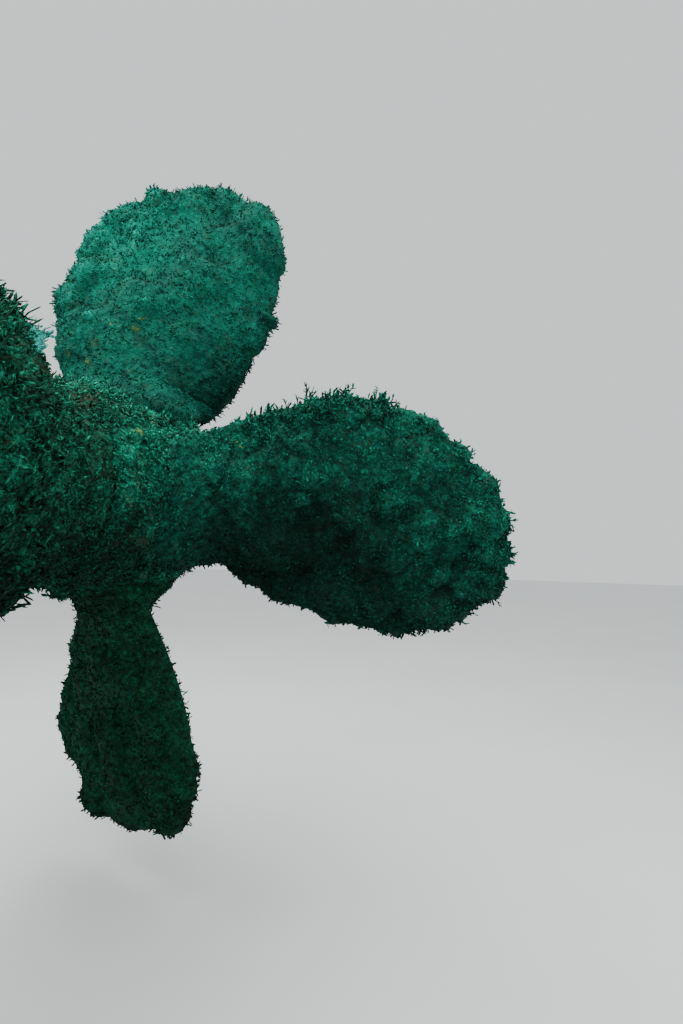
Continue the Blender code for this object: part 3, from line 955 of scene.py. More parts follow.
@dataclass
class Growth:
    """What all the overgrown pieces share: an uneven crust and the strands that stand on it.

    Crust is the mean thickness, and swell, boulder, cobble, knob and crumb are the heights of ever finer
    bumps on it, of which relief takes a share. Lean is added to every strand's way, and sway times it to its
    bend. Unseen counts the random colonies. Brightness, contrast and ground, which is the crust's share of
    the strands' light, set the tone. Even paints light on the lower sides of the lumps and shade on their
    upper sides, crease paints shade on the rim of a colony that rises, and glints is the share of pale
    strands.
    """

    node: str
    body: Body
    finish: GrowthFinish
    seed: int
    rows: int
    columns: int
    stands: tuple[Stand, ...]
    crust: float = 0.040
    swell: float = 0.008
    boulder: float = 0.026
    cobble: float = 0.024
    knob: float = 0.009
    crumb: float = 0.0030
    lean: tuple[float, float, float] = (0.2, 0.0, 0.2)
    sway: float = 0.4
    colonies: tuple[Colony, ...] = ()
    unseen: int = 0
    brightness: float = 1.0
    contrast: float = 1.0
    relief: float = 1.0
    even: float = 0.0
    ground: float = 1.0
    crease: float = 0.08
    glints: float = 0.05
    least_y: float = -1.0
    most_y: float = 9.0
    ring: bool = False

    def base(self) -> tuple[Array, Array]:
        """The clean surface as a grid of points, and the lift, 1 where growth may stand and 0 where not."""
        raise NotImplementedError

    def settle(self, clean: Sheet, grown: Sheet, rng: np.random.Generator) -> dict[str, Array]:
        """Adds up the colonies, each a half sphere over its place. Some more, out of sight, are random.

        Args:
            clean: the surface without growth.
            grown: the same raised by the crust, where the colonies show.
            rng: the source of chance.

        Returns:
            For each grid point its rise, pale, shag and kind, which is -1 outside colonies.
        """
        points, normals = clean.points, clean.normals()
        placed = [(colony, colony.centre(clean, grown)) for colony in self.colonies]
        hidden = np.argwhere(~VIEW.facing(points, normals) & (clean.lift > 0.5))
        for row, column in hidden[rng.integers(len(hidden), size=self.unseen)]:
            sizes = [rng.uniform(low, high) for low, high in UNSEEN_COLONY]
            placed.append((Colony("unseen", (0, 0), *sizes), points[row, column]))
        total = {label: np.zeros(points.shape[:2]) for label in ("rise", "pale", "shag")}
        total["kind"] = np.full(points.shape[:2], -1.0)
        for colony, centre in placed:
            away = np.linalg.norm(points - centre, axis=-1) / (colony.width / 2)
            dome = np.sqrt(np.clip(1 - away**2, 0, 1))
            for label in ("rise", "shag"):
                value = getattr(colony, label) * dome
                total[label] = np.where(np.abs(value) > np.abs(total[label]), value, total[label])
            # Painted shade along the rim of a colony that rises, as in a crease
            rim = np.exp(-(((away - 1.0) / CREASE_WIDTH) ** 2))
            crease = self.crease * (colony.rise > CREASED_RISE) * rim
            total["pale"] += colony.pale * dome - crease
            if colony.life is not Life.SAME:
                inside = dome > EDGE_START + EDGE_DEPTH * rng.random(dome.shape)
                total["kind"] = np.where(inside, colony.life.value, total["kind"])
        return total

    def lump_share(self, points: Array) -> Array:
        """How much of the lumps' height a place has: none, but on the blades and the bossing."""
        return np.zeros(points.shape[:-1])

    def kept_clear(self, points: Array) -> Array:
        """The points held between the least and most y, so that the turning pieces clear the fixed ones."""
        points[..., 1] = np.clip(points[..., 1], self.least_y, self.most_y)
        return points

    def surface(self) -> tuple[Sheet, dict[str, Array], dict[str, Array]]:
        """The uneven crust: swells, domes of two sizes, crumbs and colonies, all added along the normal.

        Each dome is taken less its mean, which keeps the crust's thickness. The tone is a middle value, plus
        the contrast times a weighted sum of domes and patches, plus the colonies' paleness; the domes paint
        light on their tops and shade in the hollows between them. It falls where the clean surface faces
        down, as painted shade, and even paints light on the lower sides of the lumps and shade on their upper
        sides.
        Height and kind are weighted sums of domes, knobs and patches too.

        Returns:
            The raised sheet, the height, kind and tone of its points, and what the colonies add there.
        """
        points, lift = self.base()
        clean = Sheet(points, lift, self.ring)
        rng = np.random.default_rng(self.seed)
        swell = WIDE_SHARE * cloud(points, WIDE_SWELL, self.seed)
        swell = swell + NARROW_SHARE * cloud(points, NARROW_SWELL, self.seed + 1)
        large, large_name = cobbles(points, BOULDER_WIDTH, self.seed + 2)
        small, small_name = cobbles(points, COBBLE_WIDTH, self.seed + 9)
        knobs = cloud(points, KNOB_WIDTH, self.seed + 41)
        crumbs = rng.normal(size=points.shape[:2])
        wide = self.crust + self.lump_share(points) * lumps(points + self.crust * clean.normals())
        colony = self.settle(clean, clean.raised(wide), rng)
        boulders, stones = large - DOME_MEAN, small - DOME_MEAN
        uneven = self.swell * swell + self.boulder * boulders + self.cobble * stones
        amount = wide + self.relief * uneven + self.knob * knobs + self.crumb * crumbs + colony["rise"]
        raised = clean.raised(np.maximum(amount, LEAST_LIFT))
        raised.points = self.kept_clear(raised.points)
        # Painted shade: a face that looks down is given less light
        facing = clean.normals()[..., 2]
        light = UNDERSIDE_PAINTED_LIGHT + (1 - UNDERSIDE_PAINTED_LIGHT) * smooth(*PAINTED_LIGHT_SLOPES, facing)
        # Painted light on the lumps' lower sides and painted shade on their upper sides, which evens out
        # their shading
        light *= 1 - self.even * (clean.raised(wide).normals()[..., 2] - facing)
        patch = (cloud(points, PATCH_WIDTH, self.seed + 23) + 1) / 2
        # Stones and boulders paint light on their tops and shade in the hollows between them; the patches are
        # the crust's own tone
        variety_and_painted_shade = STONE_TONE * stones + PATCH_TONE * (large_name - 0.5)
        variety_and_painted_shade = variety_and_painted_shade + PATCH_TONE * (patch - 0.5) + BOULDER_TONE * boulders
        tone = MIDDLE_TONE + self.contrast * variety_and_painted_shade + colony["pale"]
        tone = self.brightness * light * np.clip(tone, 0.05, 1)
        height = MIDDLE_HEIGHT + DOME_HEIGHT * large * small + KNOB_HEIGHT * knobs
        height = np.clip(height + colony["pale"], 0, 1)
        kind = PATCH_KIND * patch + STONE_KIND * small_name + BOULDER_KIND * large_name
        kind = np.clip(kind, 0, 1)
        kind = np.where(colony["kind"] < 0, kind, colony["kind"])
        return raised, {"height": height, "kind": kind, "tone": tone}, colony

    def strands(
        self, sheet: Sheet, values: dict[str, Array], colony: dict[str, Array], rng: np.random.Generator
    ) -> MeshParts:
        """All the strands, rooted just under the crust, each off the normal at random and with the lean.

        Args:
            sheet: the raised crust.
            values: its point values.
            colony: what the colonies add at its points.
            rng: the source of chance.

        Returns:
            The parts of one mesh.
        """
        made = []
        grid_normals = sheet.normals()
        upward = np.clip(grid_normals[..., 2], 0, 1) ** 2
        grid_normals = grid_normals.reshape(-1, 3)
        lean = np.array(self.lean)
        shag = np.clip(colony["shag"], 0, 1)
        thickly = 1 + PALE_THICKLY * np.clip(colony["pale"], 0, 1) + SHAG_THICKLY * shag
        for stand in self.stands:
            count = stand.count
            weight = thickly * (1 - stand.upward + stand.upward * (upward + SHAG_UPWARD * shag))
            roots, cells = sheet.roots(count, weight, rng)
            normals = grid_normals[cells]
            thick = (cloud(roots, THICKET_WIDTH, self.seed + 31) + 1) / 2
            thick = SPARSE_LENGTH + THICKET_LENGTH * thick
            ways = unit(normals + stand.spread * rng.normal(size=roots.shape) + lean)
            sunk = np.maximum(LEAST_RISE - np.einsum("ij,ij->i", ways, normals), 0)
            ways = unit(ways + sunk[:, None] * normals)
            chosen = colony["kind"].ravel()[cells]
            mixed = CRUST_KIND * values["kind"].ravel()[cells] + OWN_KIND * rng.random(count)
            mixed = np.clip(mixed, 0, 1)
            mixed = np.where(rng.random(count) < stand.weedy, 0.0, mixed)
            bends = rng.normal(size=roots.shape)
            bends = unit(bends - np.einsum("ij,ij->i", bends, ways)[:, None] * ways)
            longer = np.maximum(1 + stand.shaggy * colony["shag"].ravel()[cells], 0.1)
            glint = np.where(rng.random(count) < self.glints * self.contrast, GLINT, 1.0)
            stir = 1 + TONE_STRAY * self.contrast * rng.uniform(-1, 1, count)
            bunch = Bunch(
                stand.form,
                roots - normals * ROOT_DEPTH * stand.width,
                ways,
                stand.bend * bends + self.sway * lean,
                stand.length * longer * thick * rng.uniform(*LENGTH_SHARES, count),
                stand.width * rng.uniform(*WIDTH_SHARES, count),
                np.where(chosen < 0, mixed, chosen),
                np.clip(values["tone"].ravel()[cells] * glint * stir, 0, 1),
            )
            made.append(bunch.mesh())
            if stand.branches:
                made.append(bunch.branches(stand.branches, rng).mesh())
        whole = joined(made)
        whole.points = self.kept_clear(whole.points)
        return whole

    def build(self, material: bpy.types.Material) -> None:
        """Makes the crust and its tufts, and hands them to the frame.

        Args:
            material: their finish.
        """
        rng = np.random.default_rng(self.seed + 1000)
        sheet, values, colony = self.surface()
        crust = sheet.mesh(values | {"tone": values["tone"] * self.ground})
        tufts = self.strands(sheet, values, colony, rng)
        name = self.node.replace("_growth", "")
        LOG.debug("%s has %s", self.node, ", ".join(colony.name for colony in self.colonies))
        for part, label in ((crust, "crust"), (tufts, "tufts")):
            piece = part.piece(f"{name}_{label}", material)
            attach(piece, self.body.value)
            if part is crust:
                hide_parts(self.node)
            LOG.info("%s: %d triangles", piece.name, part.count())


@dataclass
class BladeGrowth(Growth):
    """The growth on one blade and its palm: a round foot that turns into the twisted blade sections.

    The foot stands beside the palm from foot_bottom to foot_top, and then runs out to the neck. Foot_share
    is its share of the rows, tip_share how much of the tip's quarter ellipse is drawn, and fillet how far
    the foot's curve keeps to the direction of each of its ends. Bluntness is the power that rounds a
    section's edges: the less, the blunter.
    """

    unseen: int = 14
    contrast: float = 1.5
    even: float = 0.2
    ground: float = 0.85
    number: int = 0
    radius: float = 2.00
    pitch: float = 3.15
    root_width: float = 0.54
    widest: float = 1.24
    widest_radius: float = 1.48
    root_radius: float = 0.44
    root_thickness: float = 0.19
    tip_thickness: float = 0.030
    edge_thickness: float = 0.018
    palm_radius: float = 0.31
    foot_bottom: float = 0.40
    foot_top: float = 0.472
    neck_radius: float = 0.66
    foot_share: float = 0.15
    tip_share: float = 0.985
    fillet: float = 0.35
    bluntness: float = 0.6

    def outline(self, rows: int) -> tuple[Array, Array]:
        """Radius and half width of each row of sections, from the neck to the tip.

        The half width is a quarter sine out to the widest place, then a quarter ellipse to the tip.

        Args:
            rows: how many sections.

        Returns:
            The radii and the half widths.
        """
        inner = self.widest_radius - self.neck_radius
        outer = self.radius - self.widest_radius
        run = np.linspace(0, inner + outer * pi / 2, rows)
        angle = np.clip((run - inner) / outer, 0, self.tip_share * pi / 2)
        radii = np.where(run < inner, self.neck_radius + run, self.widest_radius + outer * np.sin(angle))
        out = (radii - self.root_radius) / (self.widest_radius - self.root_radius)
        quarter = np.clip(out, 0, 1) * pi / 2
        half = (self.root_width + (self.widest - self.root_width) * np.sin(quarter)) / 2
        return radii, half * np.cos(angle)

    def sections(self, radii: Array, halves: Array, around: Array) -> Array:
        """Points round the blade's sections in its own frame, with rounded edges.

        A point at a distance along the chord and a height across it lies on the cylinder of its radius,
        turned by (along * cos(slope) + height * sin(slope)) / radius, and the slope is
        atan(pitch / (2 pi radius)).

        Args:
            radii: each section's radius.
            halves: its half width.
            around: the angles round a section.

        Returns:
            Points shaped (rows, columns, 3).
        """
        share = np.clip((radii - self.root_radius) / (self.radius - self.root_radius), 0, 1)[:, None]
        thick = self.root_thickness + (self.tip_thickness - self.root_thickness) * share
        bulge = thick - self.edge_thickness
        u, v = np.cos(around), np.sin(around)
        height = -bulge * u**2 / 2 + np.sign(v) * np.abs(v) ** self.bluntness * (thick - bulge * u**2) / 2
        along = halves[:, None] * u
        r = radii[:, None]
        slope = np.arctan2(self.pitch, 2 * pi * r)
        turn = (along * np.cos(slope) + height * np.sin(slope)) / r
        y = r * tan(RAKE) + along * np.sin(slope) - height * np.cos(slope)
        return np.stack([r * np.sin(turn), y, r * np.cos(turn)], axis=-1)

    def lump_share(self, points: Array) -> Array:
        """None near the hub, and all of the lumps' height a short way out."""
        return smooth(LUMP_START, LUMP_START + LUMP_RUN, np.hypot(points[..., 0], points[..., 2]))

    def placed(self, local: Array) -> Array:
        """Turns points of the first blade's frame about the shaft to this blade, and moves them to the hub.

        Args:
            local: shaped (..., 3).

        Returns:
            The points in the part's frame.
        """
        turn = REST_TURN + self.number * 2 * pi / BLADE_COUNT
        x, y, z = np.moveaxis(local, -1, 0)
        turned = (x * cos(turn) + z * sin(turn), y + HUB_CENTRE, z * cos(turn) - x * sin(turn))
        return np.stack(turned, axis=-1)

    def foot(self, neck: Array, around: Array, rows: int) -> Array:
        """The palm's side, then a fillet over its top that ends in the neck's section.

        The fillet is a cubic curve that leaves the palm's edge level and meets the neck along the blade.

        Args:
            neck: the first section's points.
            around: the angles round the palm.
            rows: how many rows.

        Returns:
            Points shaped (rows, columns, 3).
        """
        slope = atan2(self.pitch, 2 * pi * self.neck_radius)
        across, through = np.cos(around), np.sin(around)
        x = self.palm_radius * (across * cos(slope) + through * sin(slope))
        y = self.palm_radius * (across * sin(slope) - through * cos(slope)) + SEAT_HEIGHT * tan(RAKE)
        levels = np.linspace(self.foot_bottom, self.foot_top, 3)[:, None]
        wall = np.stack(np.broadcast_arrays(x, y, levels), axis=-1)
        edge = wall[-1]
        level_in = edge + self.fillet * (neck - edge) * np.array([1.0, 1.0, 0.0])
        below_neck = neck - self.fillet * (neck - edge) * np.array([0.0, 0.0, 1.0])
        t = np.linspace(0, 1, rows - 2)[1:, None, None]
        curve = (1 - t) ** 3 * edge + 3 * (1 - t) ** 2 * t * level_in
        curve = curve + 3 * (1 - t) * t**2 * below_neck + t**3 * neck
        return np.concatenate([wall, curve[:-1]])

    def base(self) -> tuple[Array, Array]:
        """The foot and the sections, one row after the other.

        Returns:
            The grid's points, and a lift of 1 all over.
        """
        around = np.linspace(0, 2 * pi, self.columns, endpoint=False)
        foot_rows = round(self.rows * self.foot_share)
        radii, halves = self.outline(self.rows - foot_rows + 1)
        blade = self.sections(radii, halves, around)
        points = np.concatenate([self.foot(blade[0], around, foot_rows), blade])
        return self.placed(points), np.ones(points.shape[:2])


@dataclass
class TurnedGrowth(Growth):
    """Growth on a piece that is turned about the shaft: an outline carried round it.

    Outer is the run that shows and inner the way back under it, both as radius and y. Outer_share is the
    outer run's share of the rows, fade where the lift starts and is full, as shares of that run, and lumpy
    how much of the lumps the piece has.
    """

    ring: bool = True
    outer: Corners = ()
    inner: Corners = ()
    outer_share: float = 0.9
    fade: tuple[float, float] = (-0.01, 0.03)
    lumpy: float = 0.0

    def lump_share(self, points: Array) -> Array:
        """The same share all over the piece."""
        return np.full(points.shape[:-1], self.lumpy)

    def run_along(self, corners: Corners, rows: int) -> Array:
        """Points at even steps along the straight runs between the corners.

        Args:
            corners: each a radius and a y.
            rows: how many points.

        Returns:
            Radius and y of each point.
        """
        path = np.array(corners)
        steps = np.concatenate([[0], np.cumsum(np.linalg.norm(np.diff(path, axis=0), axis=1))])
        places = np.linspace(0, steps[-1], rows)
        return np.stack([np.interp(places, steps, path[:, k]) for k in range(2)], axis=-1)

    def radius_at(self, radius: Array, y: Array, around: Array) -> Array:
        """The outline's radius, which a piece that isn't quite round changes with the angle."""
        return radius + 0 * around

    def base(self) -> tuple[Array, Array]:
        """The outer run, where growth stands, then the inner run back under it, carried round the shaft.

        Returns:
            The grid's points, and a lift that fades out towards the ends of the outer run.
        """
        rows = round(self.rows * self.outer_share)
        back = self.run_along(self.inner, self.rows - rows)
        profile = np.concatenate([self.run_along(self.outer, rows), back])
        edge = np.linspace(0, 1, rows)
        fade = smooth(*self.fade, 1 - edge)
        if self.ring:
            fade = fade * smooth(*self.fade, edge)
        lift = np.concatenate([fade, np.zeros(self.rows - rows)])
        around = np.linspace(0, 2 * pi, self.columns, endpoint=False)
        r, y = profile[:, :1], profile[:, 1:]
        grown = np.where(np.arange(self.rows)[:, None] < rows, self.radius_at(r, y, around), r + 0 * around)
        points = np.stack([grown * np.cos(around), y + 0 * around, grown * np.sin(around)], axis=-1)
        return points, lift[:, None] + 0 * around


@dataclass
class HubGrowth(TurnedGrowth):
    """The hub's growth, which rises over the round rim of each blade's seat.

    Rim_slope is where the rim starts and ends to slope down, off its radius.
    """

    rim_radius: float = 0.34
    rim_height: float = 0.40
    rim_slope: tuple[float, float] = (-0.005, 0.035)
    palm_y: float = HUB_CENTRE + SEAT_HEIGHT * tan(RAKE)

    def radius_at(self, radius: Array, y: Array, around: Array) -> Array:
        """The barrel's radius, or the radius of the flat rim of a seat where that stands prouder.

        A flat at a height over the shaft has the radius height / cos(turn) at a turn from its middle.

        Args:
            radius: the barrel's radius, for each row.
            y: the place along the shaft, for each row.
            around: the angles round the shaft.

        Returns:
            The radius at each row and angle.
        """
        grown = radius + 0 * around
        for number in range(BLADE_COUNT):
            direction = pi / 2 - REST_TURN - number * 2 * pi / BLADE_COUNT
            turn = (around - direction + pi) % (2 * pi) - pi
            near = np.abs(turn) < pi / 3
            facing = np.where(near, turn, 0)
            flat = self.rim_height / np.cos(facing)
            away = np.hypot(self.rim_height * np.tan(facing), y - self.palm_y)
            low, high = (self.rim_radius + step for step in self.rim_slope)
            inside = (1 - smooth(low, high, away)) * near
            grown = grown + inside * np.maximum(flat - grown, 0)
        return grown


@dataclass
class Studio:
    """Camera, floor and lights. Film is in millimetres, and reach is how far the floor goes each way."""

    film: float = 36.0
    floor_z: float = -2.35
    reach: float = 40.0

    def camera(self) -> None:
        """The camera of the view, with its focal length in pixels made millimetres of film."""
        data = bpy.data.cameras.new("camera")
        data.sensor_width = self.film
        data.lens = VIEW.focal / VIEW.height * self.film
        data.clip_end = 200.0
        camera = bpy.data.objects.new("camera", data)
        matrix = np.eye(4)
        matrix[:3, :3] = VIEW.axes().T
        matrix[:3, 3] = VIEW.place
        camera.matrix_world = Matrix(matrix.tolist())
        bpy.context.scene.collection.objects.link(camera)
        bpy.context.scene.camera = camera

    def floor(self) -> None:
        """A wide pale floor below the lowest blade."""
        mesh = bpy.data.meshes.new("floor")
        r, z = self.reach, self.floor_z
        mesh.from_pydata([(-r, -r, z), (r, -r, z), (r, r, z), (-r, r, z)], [], [(0, 1, 2, 3)])
        material = bpy.data.materials.new("pale_floor")
        graph = Graph(material)
        clouds = graph.noise(graph.place(), 0.6, 3.0)
        tone = graph.ramp(clouds, (0.3, (0.73, 0.74, 0.74)), (0.7, (0.77, 0.78, 0.78)))
        graph.finish(graph.noise(graph.place(), 30.0), 0.0005, Base_Color=tone, Roughness=0.8)
        mesh.materials.append(material)
        floor = bpy.data.objects.new("floor", mesh)
        bpy.context.scene.collection.objects.link(floor)

    def light(self, name: str, place: tuple[float, float, float], size: float, power: float) -> None:
        """A square soft light that faces the hub.

        Args:
            name: its name.
            place: its middle.
            size: its side.
            power: in watts.
        """
        data = bpy.data.lights.new(name, "AREA")
        data.size = size
        data.energy = power
        light = bpy.data.objects.new(name, data)
        x, y, z = np.array([0.0, HUB_CENTRE, 0.0]) - np.array(place)
        light.location = place
        light.rotation_euler = (atan2(np.hypot(x, y), -z), 0.0, atan2(y, x) - pi / 2)
        bpy.context.scene.collection.objects.link(light)

    def build(self) -> None:
        """Sets the camera, the floor, a pale surround and two soft lights from above."""
        self.camera()
        self.floor()
        world = bpy.data.worlds.new("surround")
        world.use_nodes = True
        background = world.node_tree.nodes["Background"].inputs
        background["Color"].default_value = (0.86, 0.90, 0.91, 1.0)
        background["Strength"].default_value = 1.05
        bpy.context.scene.world = world
        self.light("overhead", (-0.8, HUB_CENTRE - 1.2, 5.5), 7.0, 850.0)
        self.light("front", (3.5, HUB_CENTRE - 5.0, 3.0), 3.0, 120.0)


def colonies(*rows: tuple) -> tuple[Colony, ...]:
    """Colonies from rows of name, pixel across, pixel down, then width, rise, pale, shag and life."""
    return tuple(Colony(name, (across, down), *rest) for name, across, down, *rest in rows)


TOP_BLADE = colonies(
    # Painted light on the upper left, where the light falls on the blade
    ("bright upper left", 108, 240, 0.9, 0.0, 0.22),
    ("bright right", 236, 320, 0.7, 0.0, 0.13),
    ("upper left edge", 120, 207, 0.26, 0.05, 0.0),
    ("upper left edge low", 88, 238, 0.22, 0.04, 0.0),
    ("pale curl", 89, 316, 0.07, 0.03, 0.6),
    ("small curls", 100, 277, 0.06, 0.02, 0.3),
    ("pale cluster", 181, 260, 0.06, 0.015, 0.25),
    ("pale dot", 147, 301, 0.035, 0.015, 0.4),
    ("pale dot above", 195, 246, 0.035, 0.015, 0.35),
    ("pale shell", 64, 305, 0.05, 0.015, 0.3),
    ("pale speck", 138, 292, 0.025, 0.01, 0.45),
    ("pale speck low", 213, 353, 0.02, 0.008, 0.5),
    ("left lobe", 68, 290, 0.14, 0.02, 0.1),
    ("upper left lobe", 79, 256, 0.12, 0.018, 0.06),
    ("shoulder lobe", 105, 218, 0.12, 0.018, 0.15),
    ("top twigs", 216, 184, 0.08, 0.01, 0.05, 0.9),
    ("top left twigs", 155, 190, 0.12, 0.02, 0.05, 0.3),
    ("upper right shoulder", 262, 212, 0.34, 0.045, 0.05),
    ("right lobe", 270, 322, 0.3, -0.02, 0.0, 0.1),
    ("right edge", 278, 248, 0.34, 0.06, 0.0),
    ("upper edge", 243, 194, 0.26, 0.05, 0.0),
    ("top lump", 204, 180, 0.22, -0.02, 0.0, 0.3),
    ("lower right lobe", 247, 372, 0.16, 0.04, 0.0, 0.2),
    ("lower right edge", 238, 386, 0.28, 0.055, 0.0, 0.2),
    ("root right edge", 216, 410, 0.26, 0.05, 0.0, 0.2),
    ("ochre sponge", 110, 323, 0.045, 0.008, 0.0, -0.8, Life.SPONGE),
    ("ochre sponge right", 119, 318, 0.04, 0.008, 0.0, -0.8, Life.SPONGE),
    ("ochre patch", 135, 331, 0.07, 0.006, -0.1, -0.8, Life.SPONGE),
    ("ochre patch below", 141, 322, 0.045, 0.006, -0.1, -0.8, Life.SPONGE),
    ("ochre edge", 65, 352, 0.045, 0.01, 0.05, -0.8, Life.SPONGE),
    ("ochre low", 88, 361, 0.05, 0.01, 0.02, -0.8, Life.SPONGE),
    ("brown weed", 95, 345, 0.1, 0.005, 0.05, 0.0, Life.WEED),
    # Painted shade on the blade's foot, which faces up into the light
    ("dim foot", 140, 395, 0.5, 0.0, -0.12),
    ("filled foot", 155, 388, 0.34, 0.035, 0.0),
    ("thin left root", 60, 374, 0.3, -0.05, 0.0, -0.4),
)
RIGHT_BLADE = colonies(
    # Painted shade over the lower and middle part of the blade and along its lower edge
    ("dark below", 300, 575, 1.1, 0.0, -0.26),
    ("dark middle", 345, 545, 0.7, 0.0, -0.16),
    ("dark lower edge", 420, 610, 0.8, 0.0, -0.2),
    ("lace round", 301, 498, 0.1, 0.03, 0.4),
    ("lace above it", 312, 478, 0.17, 0.03, 0.26),
    ("cauliflower", 390, 502, 0.17, 0.045, 0.4),
    ("cauliflower right", 427, 521, 0.14, 0.04, 0.3),
    ("cauliflower low", 423, 540, 0.13, 0.04, 0.28),
    ("dim dome", 396, 560, 0.15, 0.04, 0.24),
    ("low dome", 440, 573, 0.14, 0.04, 0.3),
    ("low dome right", 461, 582, 0.12, 0.04, 0.28),
    ("middle dome", 453, 530, 0.12, 0.035, 0.18),
    ("outer dome", 474, 516, 0.16, 0.04, 0.2),
    ("tip dome", 490, 566, 0.19, 0.05, 0.26),
    ("tip edge", 506, 556, 0.2, 0.06, 0.1, 0.2),
    ("tip low edge", 497, 590, 0.26, 0.085, 0.05, 0.2),
    ("tip lower corner", 484, 606, 0.26, 0.09, 0.0, 0.2),
    ("tip lower edge", 468, 615, 0.26, 0.09, 0.0, 0.2),
    ("lower edge left", 405, 620, 0.17, 0.055, 0.0, 0.2),
    ("tip edge above", 502, 532, 0.22, 0.045, 0.0, 0.2),
    ("lower edge", 434, 614, 0.36, 0.085, 0.0, 0.2),
    ("tip upper edge", 486, 470, 0.14, 0.03, 0.06),
    ("tip edge lobe", 465, 447, 0.12, 0.03, 0.08),
    ("bush", 338, 402, 0.2, 0.02, 0.04, 0.9),
    ("bush right", 376, 403, 0.16, 0.005, 0.02, 0.8),
    ("bush left", 316, 408, 0.16, -0.01, 0.02, 0.9),
    ("thin right shoulder", 408, 398, 0.3, -0.045, 0.0, 0.1),
    ("low bush", 262, 422, 0.14, -0.045, 0.04, 0.8),
    ("branched twigs", 288, 408, 0.2, -0.03, 0.02, 1.0),
    ("thin root above", 228, 430, 0.34, -0.055, 0.05, 0.3),
    ("thin edge above", 250, 424, 0.3, -0.06, 0.0, 0.4),
    ("hanging root", 232, 578, 0.36, 0.06, -0.05),
    ("hanging root outside", 262, 595, 0.26, 0.035, -0.05),
    ("pale rim", 242, 441, 0.08, 0.02, 0.35),
    ("ochre specks", 240, 446, 0.035, 0.02, 0.2, 0.0, Life.SPONGE),
    ("root dome", 236, 481, 0.2, 0.03, 0.1),
    ("root dome upper", 212, 465, 0.16, 0.03, 0.1),
)
BOTTOM_BLADE = colonies(
    ("thin low edge", 136, 845, 0.6, -0.045, 0.0),
    ("left edge", 66, 668, 0.2, 0.025, 0.0),
    ("thin left edge", 58, 694, 0.2, -0.02, 0.0),
    ("thin right lobe", 204, 766, 0.14, -0.035, 0.0),
    ("right edge low", 192, 795, 0.2, 0.035, 0.0),
    ("thin right edge", 178, 690, 0.5, -0.07, 0.04, -0.3),
    ("thin right edge above", 160, 640, 0.4, -0.07, 0.04, -0.3),
    ("thin right edge below", 205, 745, 0.3, -0.06, 0.04, -0.3),
)
HUB = colonies(
    # Painted shade under the hub
    ("dark below", 105, 550, 0.6, 0.0, -0.24),
    # Painted shade on the rim by the top blade's foot
    ("dim rim", 95, 395, 0.5, 0.0, -0.16),
    ("pale line", 157, 494, 0.03, 0.01, 0.45),
    ("pale speck", 172, 502, 0.03, 0.01, 0.5),
    ("pale speck above", 192, 436, 0.035, 0.015, 0.45),
    ("pale speck below", 122, 540, 0.025, 0.01, 0.45),
    ("pale speck left", 96, 449, 0.025, 0.01, 0.45),
    ("olive sponge", 135, 438, 0.06, 0.04, 0.05, -1.5, Life.SPONGE),
    ("pale curl", 147, 438, 0.05, 0.03, 0.45),
    ("red weed", 88, 445, 0.18, 0.015, 0.0, 0.0, Life.WEED),
    ("red weed above", 80, 410, 0.16, 0.01, 0.0, 0.0, Life.WEED),
    ("red weed right", 148, 421, 0.12, 0.01, 0.04, 0.0, Life.WEED),
    ("tuft", 110, 500, 0.16, 0.04, 0.2),
    ("lower tuft", 142, 532, 0.16, 0.04, 0.22),
    ("right tuft", 172, 508, 0.14, 0.02, 0.2),
    ("middle tuft", 165, 470, 0.16, 0.035, 0.08),
    ("dim patch", 130, 452, 0.2, 0.0, -0.14),
)
BOSSING = colonies(
    ("thin below", 25, 590, 0.7, -0.04, -0.1, -0.3),
    ("thin top", 20, 290, 0.6, -0.035, -0.05, -0.1),
    ("thin side", 64, 462, 0.8, -0.05, 0.0, -0.45),
    ("pale tuft", 31, 557, 0.12, 0.03, 0.8),
    ("thin corner", 54, 372, 0.4, -0.06, 0.0, -0.8),
    ("pale lace", 38, 341, 0.08, 0.045, 0.9, -0.8, Life.SPONGE),
    ("brown twigs", 50, 368, 0.08, 0.01, 0.0, 0.2, Life.WEED),
    ("pale patch", 40, 422, 0.06, 0.01, 0.3),
    ("pale patch left", 8, 386, 0.1, 0.01, 0.25),
    ("tuft", 12, 480, 0.16, 0.035, 0.1),
    ("weed", 14, 520, 0.2, 0.02, 0.05),
    # Painted light on the bossing's middle, which faces up
    ("bright middle", 22, 470, 0.5, 0.0, 0.2),
)


def tuft_stands(
    buds: int, curls: int, twigs: int, curl_length: float = 0.025, thickness: float = 1.0
) -> tuple[Stand, ...]:
    """The strands of a blade or the hub: buds, curls, and branched twigs where the crust faces up.

    Args:
        buds: how many buds.
        curls: how many curls.
        twigs: how many twigs.
        curl_length: the curls' length.
        thickness: how thick buds and curls are, as a share of their usual width.

    Returns:
        The three stands.
    """
    return (
        Stand(Strand.BUD, buds, length=0.016, width=0.0070 * thickness, spread=0.80, bend=0.50),
        Stand(Strand.CURL, curls, length=curl_length, width=0.0056 * thickness, spread=1.00, bend=1.10),
        Stand(
            Strand.TWIG, twigs, length=0.042, width=0.0045, bend=0.50, branches=6, upward=0.95, weedy=0.3,
            shaggy=1.0,
        ),
    )


def blade_growth(
    number: int, finish: GrowthFinish, twigs: int, thickness: float = 1.0, **looks: object
) -> Growth:
    """The growth on one blade.

    Args:
        number: which blade, clockwise from the top one.
        finish: its finish.
        twigs: how many twigs.
        thickness: how thick its other strands are, as a share of their usual width.
        looks: values of other fields.

    Returns:
        The growth.
    """
    return BladeGrowth(
        f"blade_{number + 1}_growth", Body.PROPELLER, finish, seed=11 + 40 * number, rows=116, columns=212,
        stands=tuft_stands(5000, 5000, twigs, 0.023, thickness), number=number, **looks,
    )


